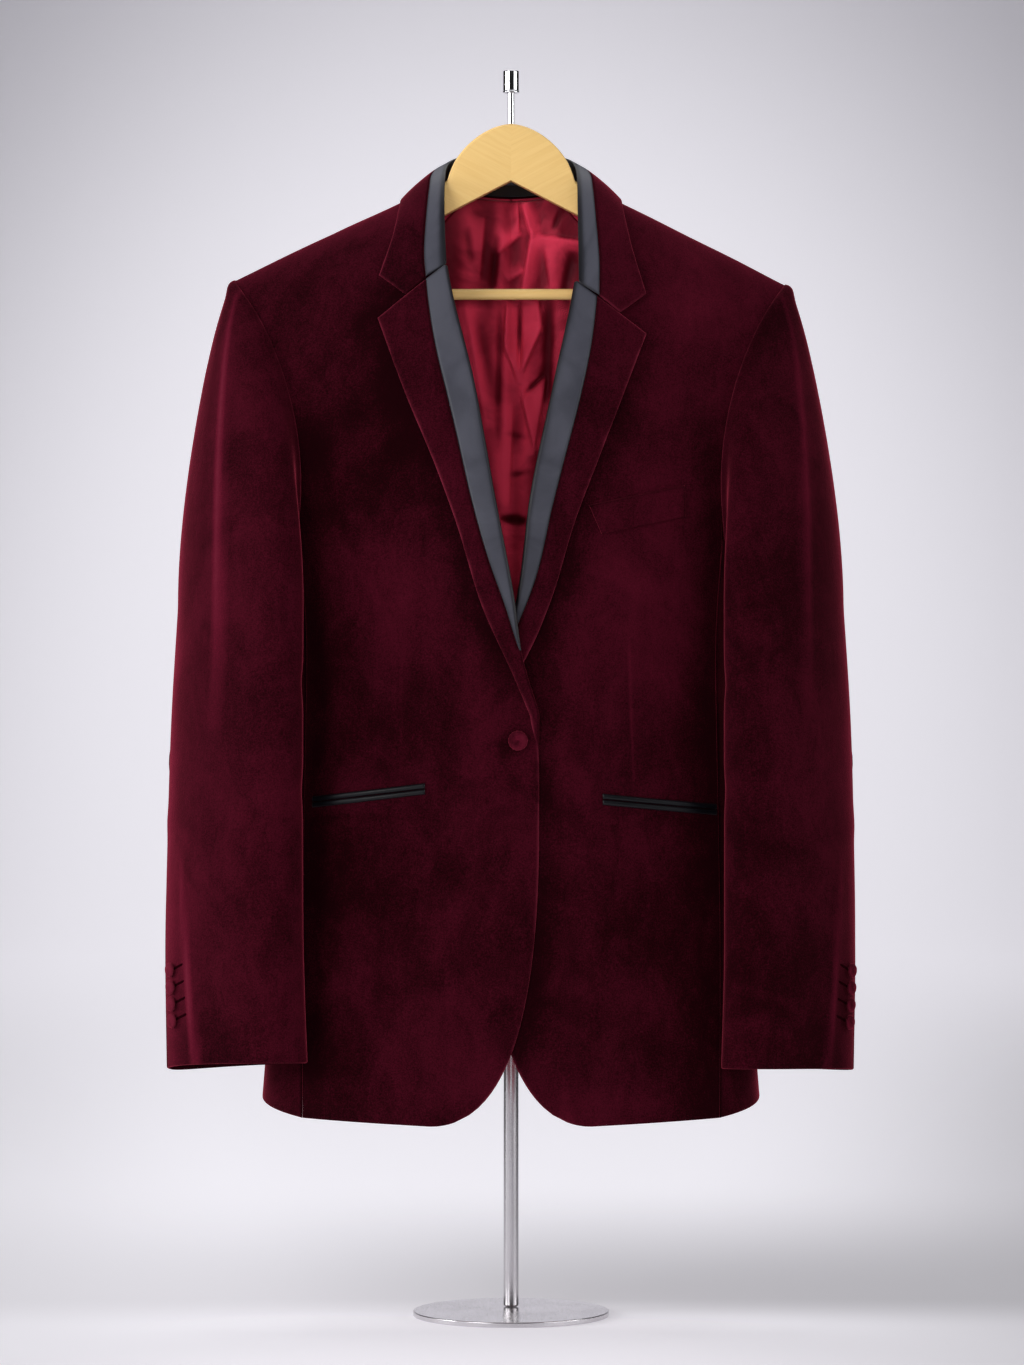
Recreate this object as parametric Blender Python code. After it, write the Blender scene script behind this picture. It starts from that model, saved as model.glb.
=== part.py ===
"""Velvet dinner jacket on a wooden hanger and a steel floor stand, in metres with +Z up.

The origin is the centre of the base plate's underside. The viewer stands at -Y, so -X is the viewer's left.
The jacket and the hanger are drawn about the hanger's own plane, y = 0, and parented to an empty that
carries that plane in front of the pole. Widths named X are measured outwards from the centre line.
"""
import math

import bpy
import numpy as np
from mathutils import Vector
from mathutils.bvhtree import BVHTree

# Stand
BASE_DIAMETER = 0.162
BASE_HEIGHT = 0.0045
POLE_DIAMETER = 0.0125
POLE_Y = 0.022
POLE_TOP = 0.965
ROD_DIAMETER = 0.0053
ROD_BEND = 0.018
SOCKET_DIAMETER = 0.0137
SOCKET_BOTTOM = 1.0074
SOCKET_TOP = 1.0254
SOCKET_BORE_DEPTH = 0.009
SMALL_BEVEL = 0.0006
BASE_BEVEL = 0.0010
POLE_BEVEL = 0.0020
HANGER_Y = -0.040

# Hanger
HANGER_THICKNESS = 0.014
HANGER_EDGE_ROUND = 0.003
HANGER_TIP_X = 0.207
CROWN_BLEND_X = 0.045
CROWN_END_X = 0.0525
RIDGE_CLEAR = 0.0005
SHOULDER_CLEAR = 0.0016
CROWN_TOP = 0.9816
CROWN_FOOT = 0.925
CROWN_HALF_WIDTH = 0.0545
CROWN_SQUARENESS = 1.75
NOTCH_PEAK = 0.935
NOTCH_END_X = 0.054
NOTCH_END_Z = 0.907
ARM_SLOPE = 0.450
SHANK_DEPTH = 0.022
BAR_DIAMETER = 0.009
BAR_BEVEL = 0.0010
BAR_Z = 0.8422
BAR_HALF_LENGTH = 0.1870
TIP_BOTTOM = 0.831

# Cloth
SEAM_GAP = 0.0003
VELVET = 0.0018
SATIN = 0.0012
LINING = 0.0010

# Torso
PIT_Z = 0.622
NECK_X = 0.062
NECK_Z = 0.9315
SHOULDER_X = 0.2255
SHOULDER_Z = {-1: 0.854, 1: 0.850}
BACK_NECK_Z = 0.924
FRONT_HEM_Z = 0.167
SIDE_HEM_Z = 0.172
BACK_HEM_Z = 0.198
FRONT_OVERLAP = 0.0225
CUTAWAY_TOP = 0.405
CUTAWAY_WIDTH = 0.0875
BREAK_Z = 0.500
VENT_TOP = 0.430
VENT_HALF_GAP = 0.0100
FRONT_ROUNDING = 1.3
SHOULDER_SEAM_ANGLE = math.radians(89.4)
LOW_ROWS = 14
LOW_ROW_SPREAD = 1.455
ARMHOLE_STEP = 0.04

TORSO_LEVELS = {
    "z": (0.160, 0.300, 0.400, 0.480, 0.560, 0.622, 0.700, 0.800, 0.960),
    "half_width": (0.2055, 0.1940, 0.1860, 0.1800, 0.1820, 0.1890, 0.2080, 0.2380, 0.2750),
    "front": (0.083, 0.081, 0.079, 0.078, 0.083, 0.087, 0.086, 0.080, 0.073),
    "back": (0.0610, 0.0540, 0.0490, 0.0460, 0.0490, 0.0520, 0.0540, 0.0545, 0.0540),
}
TORSO_SQUARENESS = 2.5
BACK_ROUNDING = {"x": (0.0, 0.03, 0.06, 0.10, 0.24), "power": (0.45, 0.62, 0.92, 1.15, 1.20)}

# Edges of the fronts above the break: the roll line, and the cut edge that the satin hides
ROLL_LINE = {
    "z": (0.500, 0.546, 0.590, 0.678, 0.767, 0.862, 0.900, NECK_Z),
    -1: (-0.0225, -0.0090, -0.0030, 0.0136, 0.0297, 0.0515, 0.0555, 0.0585),
    1: (-0.0225, -0.0070, 0.0040, 0.0160, 0.0345, 0.0530, 0.0560, 0.0585),
}
ROLL_TRIM = 0.0035
ROLL_TRIM_RUN = 0.030
OVERLAP_END_X = 0.060
OVERLAP_RUN = 0.045
OVERLAP = {"z": (0.160, 0.450, 0.500, 0.530, 0.600, 0.660, 0.700),
           "lift": (0.0026, 0.0028, 0.0036, 0.0062, 0.0066, 0.0025, 0.0)}
PANEL_SEAM = {"z": (0.160, 0.300, 0.480, 0.560, 0.640), "front": (0.169, 0.170, 0.168, 0.167, 0.172),
              "back": (0.150, 0.148, 0.138, 0.146, 0.163)}
SIDE_SEAM_TOP = 0.640
ARMHOLE = {
    "z": (0.640, 0.688, 0.737, 0.786, 0.829, 0.852),
    "front": (0.172, 0.169, 0.174, 0.188, 0.209, SHOULDER_X),
    "back": (0.163, 0.168, 0.177, 0.192, 0.211, SHOULDER_X),
}

# Sleeves: an oval for each level, turned so that its front end lies before the body
SLEEVE_LEVELS = {
    "z": (0.585, 0.500, 0.400, 0.300, 0.208),
    "x": (0.2182, 0.2205, 0.2225, 0.2235, 0.2215),
    "y": (-0.040, -0.044, -0.047, -0.050, -0.055),
    "length": (0.069, 0.070, 0.068, 0.0655, 0.064),
    "outside": (0.032, 0.034, 0.034, 0.032, 0.028),
    "inside": (0.022, 0.024, 0.026, 0.026, 0.024),
    "turn": (44.0, 42.0, 38.0, 32.0, 27.0),
}
SLEEVE_TOP_ANGLE = 60.0
SLEEVE_UNDER_TWIST = 20.0
SLEEVE_LENGTH_FACTOR = {-1: 1.0, 1: 0.94}
SLEEVE_SHIFT = {-1: 0.0, 1: 0.002}
SLEEVE_SEAM_SCALE = 0.15
CUFF_RISE = {-1: 0.0110, 1: 0.0060}
CUFF_RISE_TURN = 0.20
CUFF_RISE_RUN = 0.12
CAP_REACH = 0.020
CAP_LEAN = {"out": 0.55, "out_top": 0.20, "front": 0.60, "down": 0.45}
CAP_FALL = 0.50
CAP_FALL_LEAST = 0.020
CAP_SHARE = 0.40
HIND_SEAM = 0.88
FORE_SEAM = 0.36

# Lapels: outer edge by height, and the width of the satin strip along the roll line
LAPEL_BOTTOM = {-1: 0.500, 1: 0.536}
LAPEL_EDGE = {
    -1: {"z": (0.498, 0.527, 0.582, 0.654, 0.703, 0.751, 0.818),
         "x": (-0.0150, -0.0032, 0.0216, 0.0445, 0.0626, 0.0827, 0.1075)},
    1: {"z": (0.532, 0.560, 0.590, 0.654, 0.703, 0.751, 0.805),
        "x": (0.0060, 0.0200, 0.0320, 0.0515, 0.0700, 0.0885, 0.1090)},
}
GORGE = {-1: {"roll": (0.0515, 0.8625), "notch": (0.0861, 0.8398)},
         1: {"roll": (0.0530, 0.8490), "notch": (0.0957, 0.8270)}}
SATIN_WIDTH = {"z": (0.548, 0.590, 0.630, 0.678, 0.727, 0.799, 0.862),
               "width": (0.0012, 0.0090, 0.0160, 0.0210, 0.0240, 0.0262, 0.0215)}
SATIN_END_Z = 0.551
LAPEL_LIFT_LOW = 0.0028
LAPEL_LIFT_HIGH = 0.0050
LAPEL_CROWN = 0.0012
ROLL_RADIUS = 0.0026
ROLL_TURN = 140.0

# Collar: one row for each station from the gorge round to the centre back
COLLAR_ROWS = (
    # fold, neck seam
    # satin edge, leaf edge
    ((0.0515, -0.0480, 0.8648), (0.0545, -0.0448, 0.8670),
     (0.0692, -0.0500, 0.8540), (0.1073, -0.0415, 0.8560)),
    ((0.0528, -0.0370, 0.8880), (0.0553, -0.0335, 0.8870),
     (0.0708, -0.0410, 0.8740), (0.0990, -0.0320, 0.8810)),
    ((0.0535, -0.0260, 0.9140), (0.0562, -0.0215, 0.9130),
     (0.0695, -0.0290, 0.9020), (0.0948, -0.0240, 0.8975)),
    ((0.0530, -0.0110, 0.9345), (0.0572, -0.0090, 0.9300),
     (0.0675, -0.0130, 0.9270), (0.0922, -0.0120, 0.9130)),
    ((0.0512, 0.0040, 0.9475), (0.0575, 0.0030, 0.9350),
     (0.0655, 0.0020, 0.9410), (0.0905, 0.0020, 0.9212)),
    ((0.0465, 0.0160, 0.9555), (0.0510, 0.0130, 0.9340),
     (0.0590, 0.0170, 0.9485), (0.0830, 0.0180, 0.9200)),
    ((0.0340, 0.0280, 0.9610), (0.0360, 0.0255, 0.9290),
     (0.0440, 0.0340, 0.9530), (0.0620, 0.0330, 0.9150)),
    ((0.0180, 0.0360, 0.9625), (0.0185, 0.0335, 0.9265),
     (0.0230, 0.0430, 0.9540), (0.0320, 0.0440, 0.9105)),
    ((0.0000, 0.0385, 0.9630), (0.0000, 0.0372, 0.9258),
     (0.0000, 0.0460, 0.9545), (0.0000, 0.0490, 0.9085)),
)
NOTCH_Y = -0.0510
GORGE_GAP = 0.0015
COLLAR_CROWN = 0.0020
FOLD_START = 0.75
GORGE_DROP = {-1: (0.0, 0.0, 0.0), 1: (0.0025, -0.0080, -0.0140)}
GORGE_DROP_SHARE = (1.0, 0.45)
LABEL_THICKNESS = 0.0010
LABEL_STATIONS = 2

# Pockets, by the corners of their openings on the front
HIP_POCKET = {-1: {"inner": (0.0690, 0.4385), "outer": (0.1605, 0.4272)},
              1: {"inner": (0.0735, 0.4300), "outer": (0.1660, 0.4210)}}
JET_WIDTH = 0.0044
STRIP_CLEAR = 0.0005
CHEST_WELT = {"inner": (0.0625, 0.6665), "outer": (0.1400, 0.6830),
              "inner_height": 0.0230, "outer_height": 0.0255, "slant": 0.010}

# Buttons
FRONT_BUTTON = {"x": 0.0056, "z": 0.4775, "diameter": 0.0160, "height": 0.0062}
CUFF_BUTTON = {"diameter": 0.0120, "height": 0.0052, "count": 4,
               "lowest": 0.2475, "pitch": 0.0143, "inset": 0.078}
BUTTON_PROFILE = {"radius": (0.24, 0.26, 0.47, 0.48, 0.32), "rise": (0.0, 0.24, 0.34, 0.58, 0.90)}
BUTTON_CLEAR = 0.0005

# Folds in the back lining, one row each: place at the neck and at the foot, width, depth
LINING_BOTTOM = 0.420
LINING_HALF_WIDTH = 0.135
LINING_CLEAR = 0.0040
LINING_TOP_CLEAR = 0.0004
LINING_CLEAR_RUN = 0.15
LINING_NECK_DROP = 0.0020
LINING_TOP_REACH = 0.0260
LINING_FOLDS = {
    "top": (-0.105, -0.070, -0.036, -0.008, 0.010, 0.034, 0.068, 0.104),
    "bottom": (-0.100, -0.062, -0.030, -0.004, 0.016, 0.040, 0.062, 0.100),
    "width": (0.016, 0.012, 0.009, 0.007, 0.007, 0.010, 0.012, 0.016),
    "depth": (0.006, 0.005, 0.007, 0.010, 0.009, 0.007, 0.006, 0.005),
}

LINING_EASE = {"foot": 0.90, "run": 0.75, "power": 0.5}

# The outer faces of the two fronts and the inner faces of the two backs, kept for what lies on them
FRONT_FACES = {}
BACK_FACES = {}

# Colours: red, green, blue, roughness, metallic
FINISHES = {
    "velvet": (0.075, 0.004, 0.012, 0.85, 0.0),
    "satin": (0.035, 0.038, 0.045, 0.45, 0.0),
    "lining": (0.250, 0.012, 0.030, 0.40, 0.0),
    "label": (0.010, 0.010, 0.011, 0.80, 0.0),
    "wood": (0.720, 0.480, 0.210, 0.45, 0.0),
    "chrome": (0.800, 0.800, 0.820, 0.12, 1.0),
    "steel": (0.520, 0.500, 0.490, 0.35, 1.0),
}


def curve(xs, ys, x):
    """A smooth value at x through the points of a table, with straight ends."""
    xs = np.asarray(xs, float)
    ys = np.asarray(ys, float)
    if xs[0] > xs[-1]:
        xs = xs[::-1]
        ys = ys[::-1]
    x = min(max(x, xs[0]), xs[-1])
    slopes = np.gradient(ys, xs)
    i = min(int(np.searchsorted(xs, x, side="right")) - 1, len(xs) - 2)
    step = xs[i + 1] - xs[i]
    t = (x - xs[i]) / step
    low = (1 + 2 * t) * (1 - t) ** 2 * ys[i] + t * (1 - t) ** 2 * step * slopes[i]
    high = t * t * (3 - 2 * t) * ys[i + 1] + t * t * (t - 1) * step * slopes[i + 1]
    return float(low + high)


def ring_faces(rings, around):
    """Faces between successive rings of points."""
    faces = []
    for ring in range(rings - 1):
        for step in range(around):
            a = ring * around + step
            b = ring * around + (step + 1) % around
            faces.append((a, b, b + around, a + around))
    return faces


def unit(vector):
    """The vector at length one."""
    return vector / np.linalg.norm(vector)


def finish(name):
    """The Principled material of one finish, made once."""
    material = bpy.data.materials.get(name)
    if material is None:
        red, green, blue, roughness, metallic = FINISHES[name]
        material = bpy.data.materials.new(name)
        material.use_nodes = True
        shader = material.node_tree.nodes["Principled BSDF"]
        shader.inputs["Base Color"].default_value = (red, green, blue, 1.0)
        shader.inputs["Roughness"].default_value = roughness
        shader.inputs["Metallic"].default_value = metallic
        material.diffuse_color = (red, green, blue, 1.0)
    return material


def add_object(name, points, faces, finish_name, parent=None, smooth=True):
    """A named mesh object from points and faces."""
    mesh = bpy.data.meshes.new(name)
    mesh.from_pydata([tuple(point) for point in points], [], faces)
    mesh.validate()
    if smooth:
        mesh.shade_smooth()
        mesh.set_sharp_from_angle(angle=math.radians(40))
    mesh.materials.append(finish(finish_name))
    thing = bpy.data.objects.new(name, mesh)
    bpy.context.scene.collection.objects.link(thing)
    thing.parent = parent
    return thing


def add_wall(name, outer, normals, thickness, finish_name, parent):
    """A closed sheet of even thickness from a grid of outer points and their outward normals."""
    outer = np.asarray(outer, float)
    inner = outer - thickness * np.asarray(normals, float)
    rows, columns = outer.shape[:2]
    count = rows * columns

    def index(i, j):
        return i * columns + j

    faces = []
    for i in range(rows - 1):
        for j in range(columns - 1):
            a, b, c, d = index(i, j), index(i, j + 1), index(i + 1, j + 1), index(i + 1, j)
            for triangle in ((a, b, c), (a, c, d)):
                faces.append(triangle)
                faces.append(tuple(corner + count for corner in reversed(triangle)))
    rim = [index(0, j) for j in range(columns)]
    rim += [index(i, columns - 1) for i in range(1, rows)]
    rim += [index(rows - 1, j) for j in range(columns - 2, -1, -1)]
    rim += [index(i, 0) for i in range(rows - 2, 0, -1)]
    for here, there in zip(rim, rim[1:] + rim[:1]):
        faces.append((there, here, here + count, there + count))
    points = np.concatenate([outer.reshape(-1, 3), inner.reshape(-1, 3)])
    first = np.cross(outer[0, 1] - outer[0, 0], outer[1, 0] - outer[0, 0])
    if np.dot(first, normals[0][0]) < 0:
        faces = [tuple(reversed(face)) for face in faces]
    return add_object(name, points, faces, finish_name, parent)


def grid_normals(grid, toward):
    """Normals of a grid from its own slopes, on the side of the given direction at its middle."""
    grid = np.asarray(grid, float)
    along = np.gradient(grid, axis=0)
    across = np.gradient(grid, axis=1)
    normals = np.cross(across, along)
    normals /= np.linalg.norm(normals, axis=2, keepdims=True)
    middle = normals[grid.shape[0] // 2, grid.shape[1] // 2]
    return normals if np.dot(middle, toward) > 0 else -normals


# Torso surface


def ridge(x, side):
    """Height of the shoulder line, carried on to the centre line above the neck."""
    slope = (NECK_Z - SHOULDER_Z[side]) / (SHOULDER_X - NECK_X)
    return NECK_Z + (NECK_X - x) * slope


def depth(x, z, side, face):
    """Distance of the front or back cloth from the hanger's plane at an outward width x."""
    half_width = curve(TORSO_LEVELS["z"], TORSO_LEVELS["half_width"], z)
    reach = curve(TORSO_LEVELS["z"], TORSO_LEVELS["front" if face < 0 else "back"], z)
    inside = max(0.0, 1 - (abs(x) / half_width) ** TORSO_SQUARENESS)
    reach *= inside ** (1 / TORSO_SQUARENESS)
    if z > PIT_Z:
        rise = min(1.0, (z - PIT_Z) / (ridge(abs(x), side) - PIT_Z))
        power = FRONT_ROUNDING if face < 0 else curve(BACK_ROUNDING["x"], BACK_ROUNDING["power"], abs(x))
        reach *= math.sqrt(1 - rise * rise) ** power
    return reach


def torso_point(x, z, side, face, lift=0.0):
    """A point of the front or back cloth, moved out along its normal by lift."""
    point = np.array((side * x, face * depth(x, z, side, face), z))
    if lift:
        point = point + lift * torso_normal(x, z, side, face)
    return point


def torso_normal(x, z, side, face):
    """Outward normal of the front or back cloth."""
    step = 1e-4
    slope_x = (depth(x + step, z, side, face) - depth(x - step, z, side, face)) / (2 * step)
    slope_z = (depth(x, z + step, side, face) - depth(x, z - step, side, face)) / (2 * step)
    return unit(np.array((-side * slope_x, face, -slope_z)))


def side_point(angle, z, side):
    """A point of the side of the body: negative angles run to the front, positive ones to the back."""
    half_width = curve(TORSO_LEVELS["z"], TORSO_LEVELS["half_width"], z)
    reach = curve(TORSO_LEVELS["z"], TORSO_LEVELS["front" if angle < 0 else "back"], z)
    x = half_width * abs(math.cos(angle)) ** (2 / TORSO_SQUARENESS)
    y = math.copysign(reach * abs(math.sin(angle)) ** (2 / TORSO_SQUARENESS), angle)
    return np.array((side * x, y, z))


def side_normal(angle, z, side):
    """Outward normal of the side of the body."""
    step = 1e-3
    around = side_point(angle + step, z, side) - side_point(angle - step, z, side)
    along = side_point(angle, z + step, side) - side_point(angle, z - step, side)
    normal = unit(np.cross(around, along))
    return normal if normal[0] * side > 0 else -normal


def seam_angle(z, face):
    """Angle of a side-panel seam on the body's oval."""
    half_width = curve(TORSO_LEVELS["z"], TORSO_LEVELS["half_width"], z)
    x = curve(PANEL_SEAM["z"], PANEL_SEAM["front" if face < 0 else "back"], z)
    return face * math.acos((x / half_width) ** (TORSO_SQUARENESS / 2))


def armhole_at(rise_angle, side, face):
    """Outward width and height of the armhole on the row with this rise angle."""
    z = 0.75
    for _ in range(12):
        x = curve(ARMHOLE["z"], ARMHOLE["front" if face < 0 else "back"], z)
        z = PIT_Z + (ridge(x, side) - PIT_Z) * math.sin(rise_angle)
    return x, z


def lowest_rise(side):
    """Rise angle at which the side seams meet the armhole."""
    return math.asin((SIDE_SEAM_TOP - PIT_Z) / (ridge(ARMHOLE["front"][0], side) - PIT_Z))


def side_top(share):
    """Height of the side panel's top, from -1 at its front seam to 1 at its back seam."""
    return PIT_Z + (SIDE_SEAM_TOP - PIT_Z) * share * share


def armhole_point(turn, side):
    """A point and the cloth's normal on the armhole: 0 at the shoulder, 0.25 in front, 0.5 below."""
    turn = turn % 1.0
    low = lowest_rise(side)
    if turn <= CAP_SHARE or turn >= 1 - CAP_SHARE:
        face = -1 if turn <= CAP_SHARE else 1
        share = (turn if face < 0 else 1 - turn) / CAP_SHARE
        rise = SHOULDER_SEAM_ANGLE + (low - SHOULDER_SEAM_ANGLE) * share
        x, z = armhole_at(rise, side, face)
        return torso_point(x, z, side, face), torso_normal(x, z, side, face)
    share = (turn - 0.5) / (0.5 - CAP_SHARE)
    z = side_top(share)
    angle = abs(share) * seam_angle(z, -1 if share < 0 else 1)
    return side_point(angle, z, side), side_normal(angle, z, side)


# Sleeve surface


def sleeve_ring(turn, z, side):
    """A point of the sleeve's oval at height z."""
    levels = SLEEVE_LEVELS
    twist = SLEEVE_UNDER_TWIST * (1 - math.cos(2 * math.pi * turn))
    angle = math.radians(SLEEVE_TOP_ANGLE + 360 * turn + twist)
    flank = "outside" if math.sin(angle) > 0 else "inside"
    keys = ("x", "y", "length", flank, "turn")
    x, y, length, width, tilt = (curve(levels["z"], levels[key], z) for key in keys)
    length *= SLEEVE_LENGTH_FACTOR[side]
    x += SLEEVE_SHIFT[side]
    lean = math.radians(tilt)
    out = x + length * math.cos(angle) * math.cos(lean) + width * math.sin(angle) * math.sin(lean)
    back = y + length * math.cos(angle) * math.sin(lean) - width * math.sin(angle) * math.cos(lean)
    return np.array((side * out, back, z))


def cuff_rise(turn, z, side):
    """How much the front of a cuff rises above its back."""
    near = 1 - min(1.0, (z - SLEEVE_LEVELS["z"][-1]) / CUFF_RISE_RUN)
    front = 0.5 + 0.5 * math.cos(2 * math.pi * (turn - CUFF_RISE_TURN))
    return CUFF_RISE[side] * near ** 2 * front


def sleeve_point(turn, share, side):
    """A point of the sleeve, share 0 at the armhole and 1 at the cuff."""
    top = SLEEVE_LEVELS["z"][0]
    if share >= CAP_SHARE:
        fall = (share - CAP_SHARE) / (1 - CAP_SHARE)
        point = sleeve_ring(turn, top + (SLEEVE_LEVELS["z"][-1] - top) * fall, side)
        point[2] += cuff_rise(turn, point[2], side)
        return point
    t = share / CAP_SHARE
    start, _ = armhole_point(turn, side)
    end = sleeve_ring(turn, top, side)
    around = 2 * math.pi * turn
    out = CAP_LEAN["out"] + CAP_LEAN["out_top"] * math.cos(around)
    away = np.array((side * out, -CAP_LEAN["front"] * math.sin(around), -CAP_LEAN["down"]))
    near = start + CAP_REACH * away
    drop = max(CAP_FALL_LEAST, CAP_FALL * (start[2] - end[2]))
    far = end + np.array((0, 0, drop))
    return (1 - t) ** 3 * start + 3 * t * (1 - t) ** 2 * near + 3 * t * t * (1 - t) * far + t ** 3 * end


def sleeve_normal(turn, share, side):
    """Outward normal of the sleeve."""
    step = 2e-3
    low = max(share - step, 0.0)
    high = min(share + step, 1.0)
    level = share + step / 10
    around = sleeve_point(turn + step, level, side) - sleeve_point(turn - step, level, side)
    along = sleeve_point(turn, high, side) - sleeve_point(turn, low, side)
    return side * unit(np.cross(around, along))


def edge_normals(turn, side):
    """Directions of the body's and the sleeve's cut edges: shared, but for the fold under the arm."""
    _, body = armhole_point(turn, side)
    sleeve = sleeve_normal(turn, 0.0, side)
    if abs(turn % 1.0 - 0.5) < 0.5 - CAP_SHARE + 0.5 * ARMHOLE_STEP:
        return body, sleeve
    shared = unit(body + sleeve)
    return shared, shared


# Body panels


def front_edge(z, side):
    """Outward width of a front's free edge: cutaway, straight edge, then the line under the roll."""
    if z < CUTAWAY_TOP:
        share = max(0.0, (z - FRONT_HEM_Z) / (CUTAWAY_TOP - FRONT_HEM_Z))
        return -FRONT_OVERLAP + CUTAWAY_WIDTH * (1 - math.sqrt(share)) ** 2
    if z < BREAK_Z:
        return -FRONT_OVERLAP
    trim = ROLL_TRIM * min(1.0, (z - BREAK_Z) / ROLL_TRIM_RUN)
    return curve(ROLL_LINE["z"], ROLL_LINE[side], z) + trim


def overlap_lift(x, z, side):
    """How far the upper front stands out over the lower one near the centre line."""
    if side > 0:
        return 0.0
    share = min(1.0, max(0.0, (OVERLAP_END_X - x) / OVERLAP_RUN))
    return curve(OVERLAP["z"], OVERLAP["lift"], z) * share * share * (3 - 2 * share)


def front_point(x, z, side):
    """A point of a front, with the overlap of the upper front."""
    return torso_point(x, z, side, -1, overlap_lift(x, z, side))


def on_front(x, z, side, lift):
    """A point that lies over a front's flat faces, moved out along the cloth's normal by lift."""
    place, _, _, _ = FRONT_FACES[side].ray_cast(Vector((side * x, -1.0, z)), Vector((0.0, 1.0, 0.0)))
    base = front_point(x, z, side) if place is None else np.array(place)
    return base + lift * torso_normal(x, z, side, -1)


def armhole_turns(first, last):
    """Places on the armhole, one for each row or column of cloth that ends there."""
    return np.linspace(first, last, round((last - first) / ARMHOLE_STEP) + 1)


def rise_at(turn, side):
    """Rise angle of the row of cloth that meets the armhole at this place."""
    share = min(turn, 1 - turn) / CAP_SHARE
    return SHOULDER_SEAM_ANGLE + (lowest_rise(side) - SHOULDER_SEAM_ANGLE) * share


def low_level(row):
    """Share of the height from hem to armpit, closer together near the hem."""
    return (row / LOW_ROWS) ** LOW_ROW_SPREAD


def add_front(side, parent, columns=11):
    """One front: hem to armpit by height, armpit to shoulder by rise angle."""
    half_gap = SEAM_GAP / 2
    grid = []
    normals = []
    shares = 1 - (1 - np.linspace(0, 1, columns)) ** 1.3
    turns = list(armhole_turns(0.0, CAP_SHARE))[::-1]
    for row in range(LOW_ROWS + len(turns)):
        turn = None if row < LOW_ROWS else turns[row - LOW_ROWS]
        if turn is None:
            inner_z = FRONT_HEM_Z + (SIDE_SEAM_TOP - FRONT_HEM_Z) * low_level(row)
            outer_z = SIDE_HEM_Z + (SIDE_SEAM_TOP - SIDE_HEM_Z) * low_level(row)
            outer_x = curve(PANEL_SEAM["z"], PANEL_SEAM["front"], outer_z)
        else:
            rise = rise_at(turn, side)
            outer_x, outer_z = armhole_at(rise, side, -1)
            inner_z = outer_z
            for _ in range(16):
                inner_z = PIT_Z + (ridge(front_edge(inner_z, side), side) - PIT_Z) * math.sin(rise)
        inner_x = front_edge(inner_z, side)
        line = []
        line_normals = []
        for share in shares:
            x = inner_x + (outer_x - half_gap - inner_x) * share
            z = inner_z + (outer_z - inner_z) * share
            normal = torso_normal(x, z, side, -1)
            if turn == 0:
                normal = unit(normal * np.array((1, 0, 1)))
            if turn is not None and share == 1:
                normal, _ = edge_normals(turn, side)
            line.append(front_point(x, z, side))
            line_normals.append(normal)
        grid.append(line)
        normals.append(line_normals)
    front = add_wall("front_left" if side < 0 else "front_right", grid, normals, VELVET, "velvet", parent)
    points = [vertex.co for vertex in front.data.vertices]
    faces = [tuple(face.vertices) for face in front.data.polygons if max(face.vertices) < len(points) // 2]
    FRONT_FACES[side] = BVHTree.FromPolygons(points, faces)


def back_neck(x):
    """Height of the back neck seam."""
    return BACK_NECK_Z + (NECK_Z - BACK_NECK_Z) * (x / NECK_X) ** 2


def add_back(side, parent, columns=9):
    """One back: the centre edge opens into the vent below, the top is the neck seam and the shoulder seam."""
    half_gap = SEAM_GAP / 2
    grid = []
    normals = []
    low = lowest_rise(side)
    turns = list(armhole_turns(1 - CAP_SHARE, 1.0))
    for row in range(LOW_ROWS + len(turns)):
        turn = None if row < LOW_ROWS else turns[row - LOW_ROWS]
        line = []
        line_normals = []
        for share in np.linspace(0, 1, columns):
            if turn is None:
                z = BACK_HEM_Z + (SIDE_SEAM_TOP - BACK_HEM_Z) * low_level(row)
                vent = VENT_HALF_GAP * max(0.0, (VENT_TOP - z) / (VENT_TOP - BACK_HEM_Z))
                outer_x = curve(PANEL_SEAM["z"], PANEL_SEAM["back"], z)
                x = half_gap + vent + (outer_x - 2 * half_gap - vent) * share
            else:
                rise = rise_at(turn, side)
                outer_x, _ = armhole_at(rise, side, 1)
                x = half_gap + (outer_x - 2 * half_gap) * share
                top = SHOULDER_SEAM_ANGLE
                if x < NECK_X:
                    top = min(top, math.asin((back_neck(x) - PIT_Z) / (ridge(x, side) - PIT_Z)))
                climb = (rise - low) / (SHOULDER_SEAM_ANGLE - low)
                z = PIT_Z + (ridge(x, side) - PIT_Z) * math.sin(low + (top - low) * climb)
            normal = torso_normal(x, z, side, 1)
            if share == 0:
                normal = unit(normal * np.array((0, 1, 1)))
            if turn == 1 and x > NECK_X:
                normal = unit(normal * np.array((1, 0, 1)))
            if turn is not None and share == 1:
                normal, _ = edge_normals(turn, side)
            line.append(torso_point(x, z, side, 1))
            line_normals.append(normal)
        grid.append(line)
        normals.append(line_normals)
    back = add_wall("back_left" if side < 0 else "back_right", grid, normals, VELVET, "velvet", parent)
    points = [vertex.co for vertex in back.data.vertices]
    faces = [tuple(face.vertices) for face in back.data.polygons if min(face.vertices) >= len(points) // 2]
    BACK_FACES[side] = BVHTree.FromPolygons(points, faces)


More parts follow.
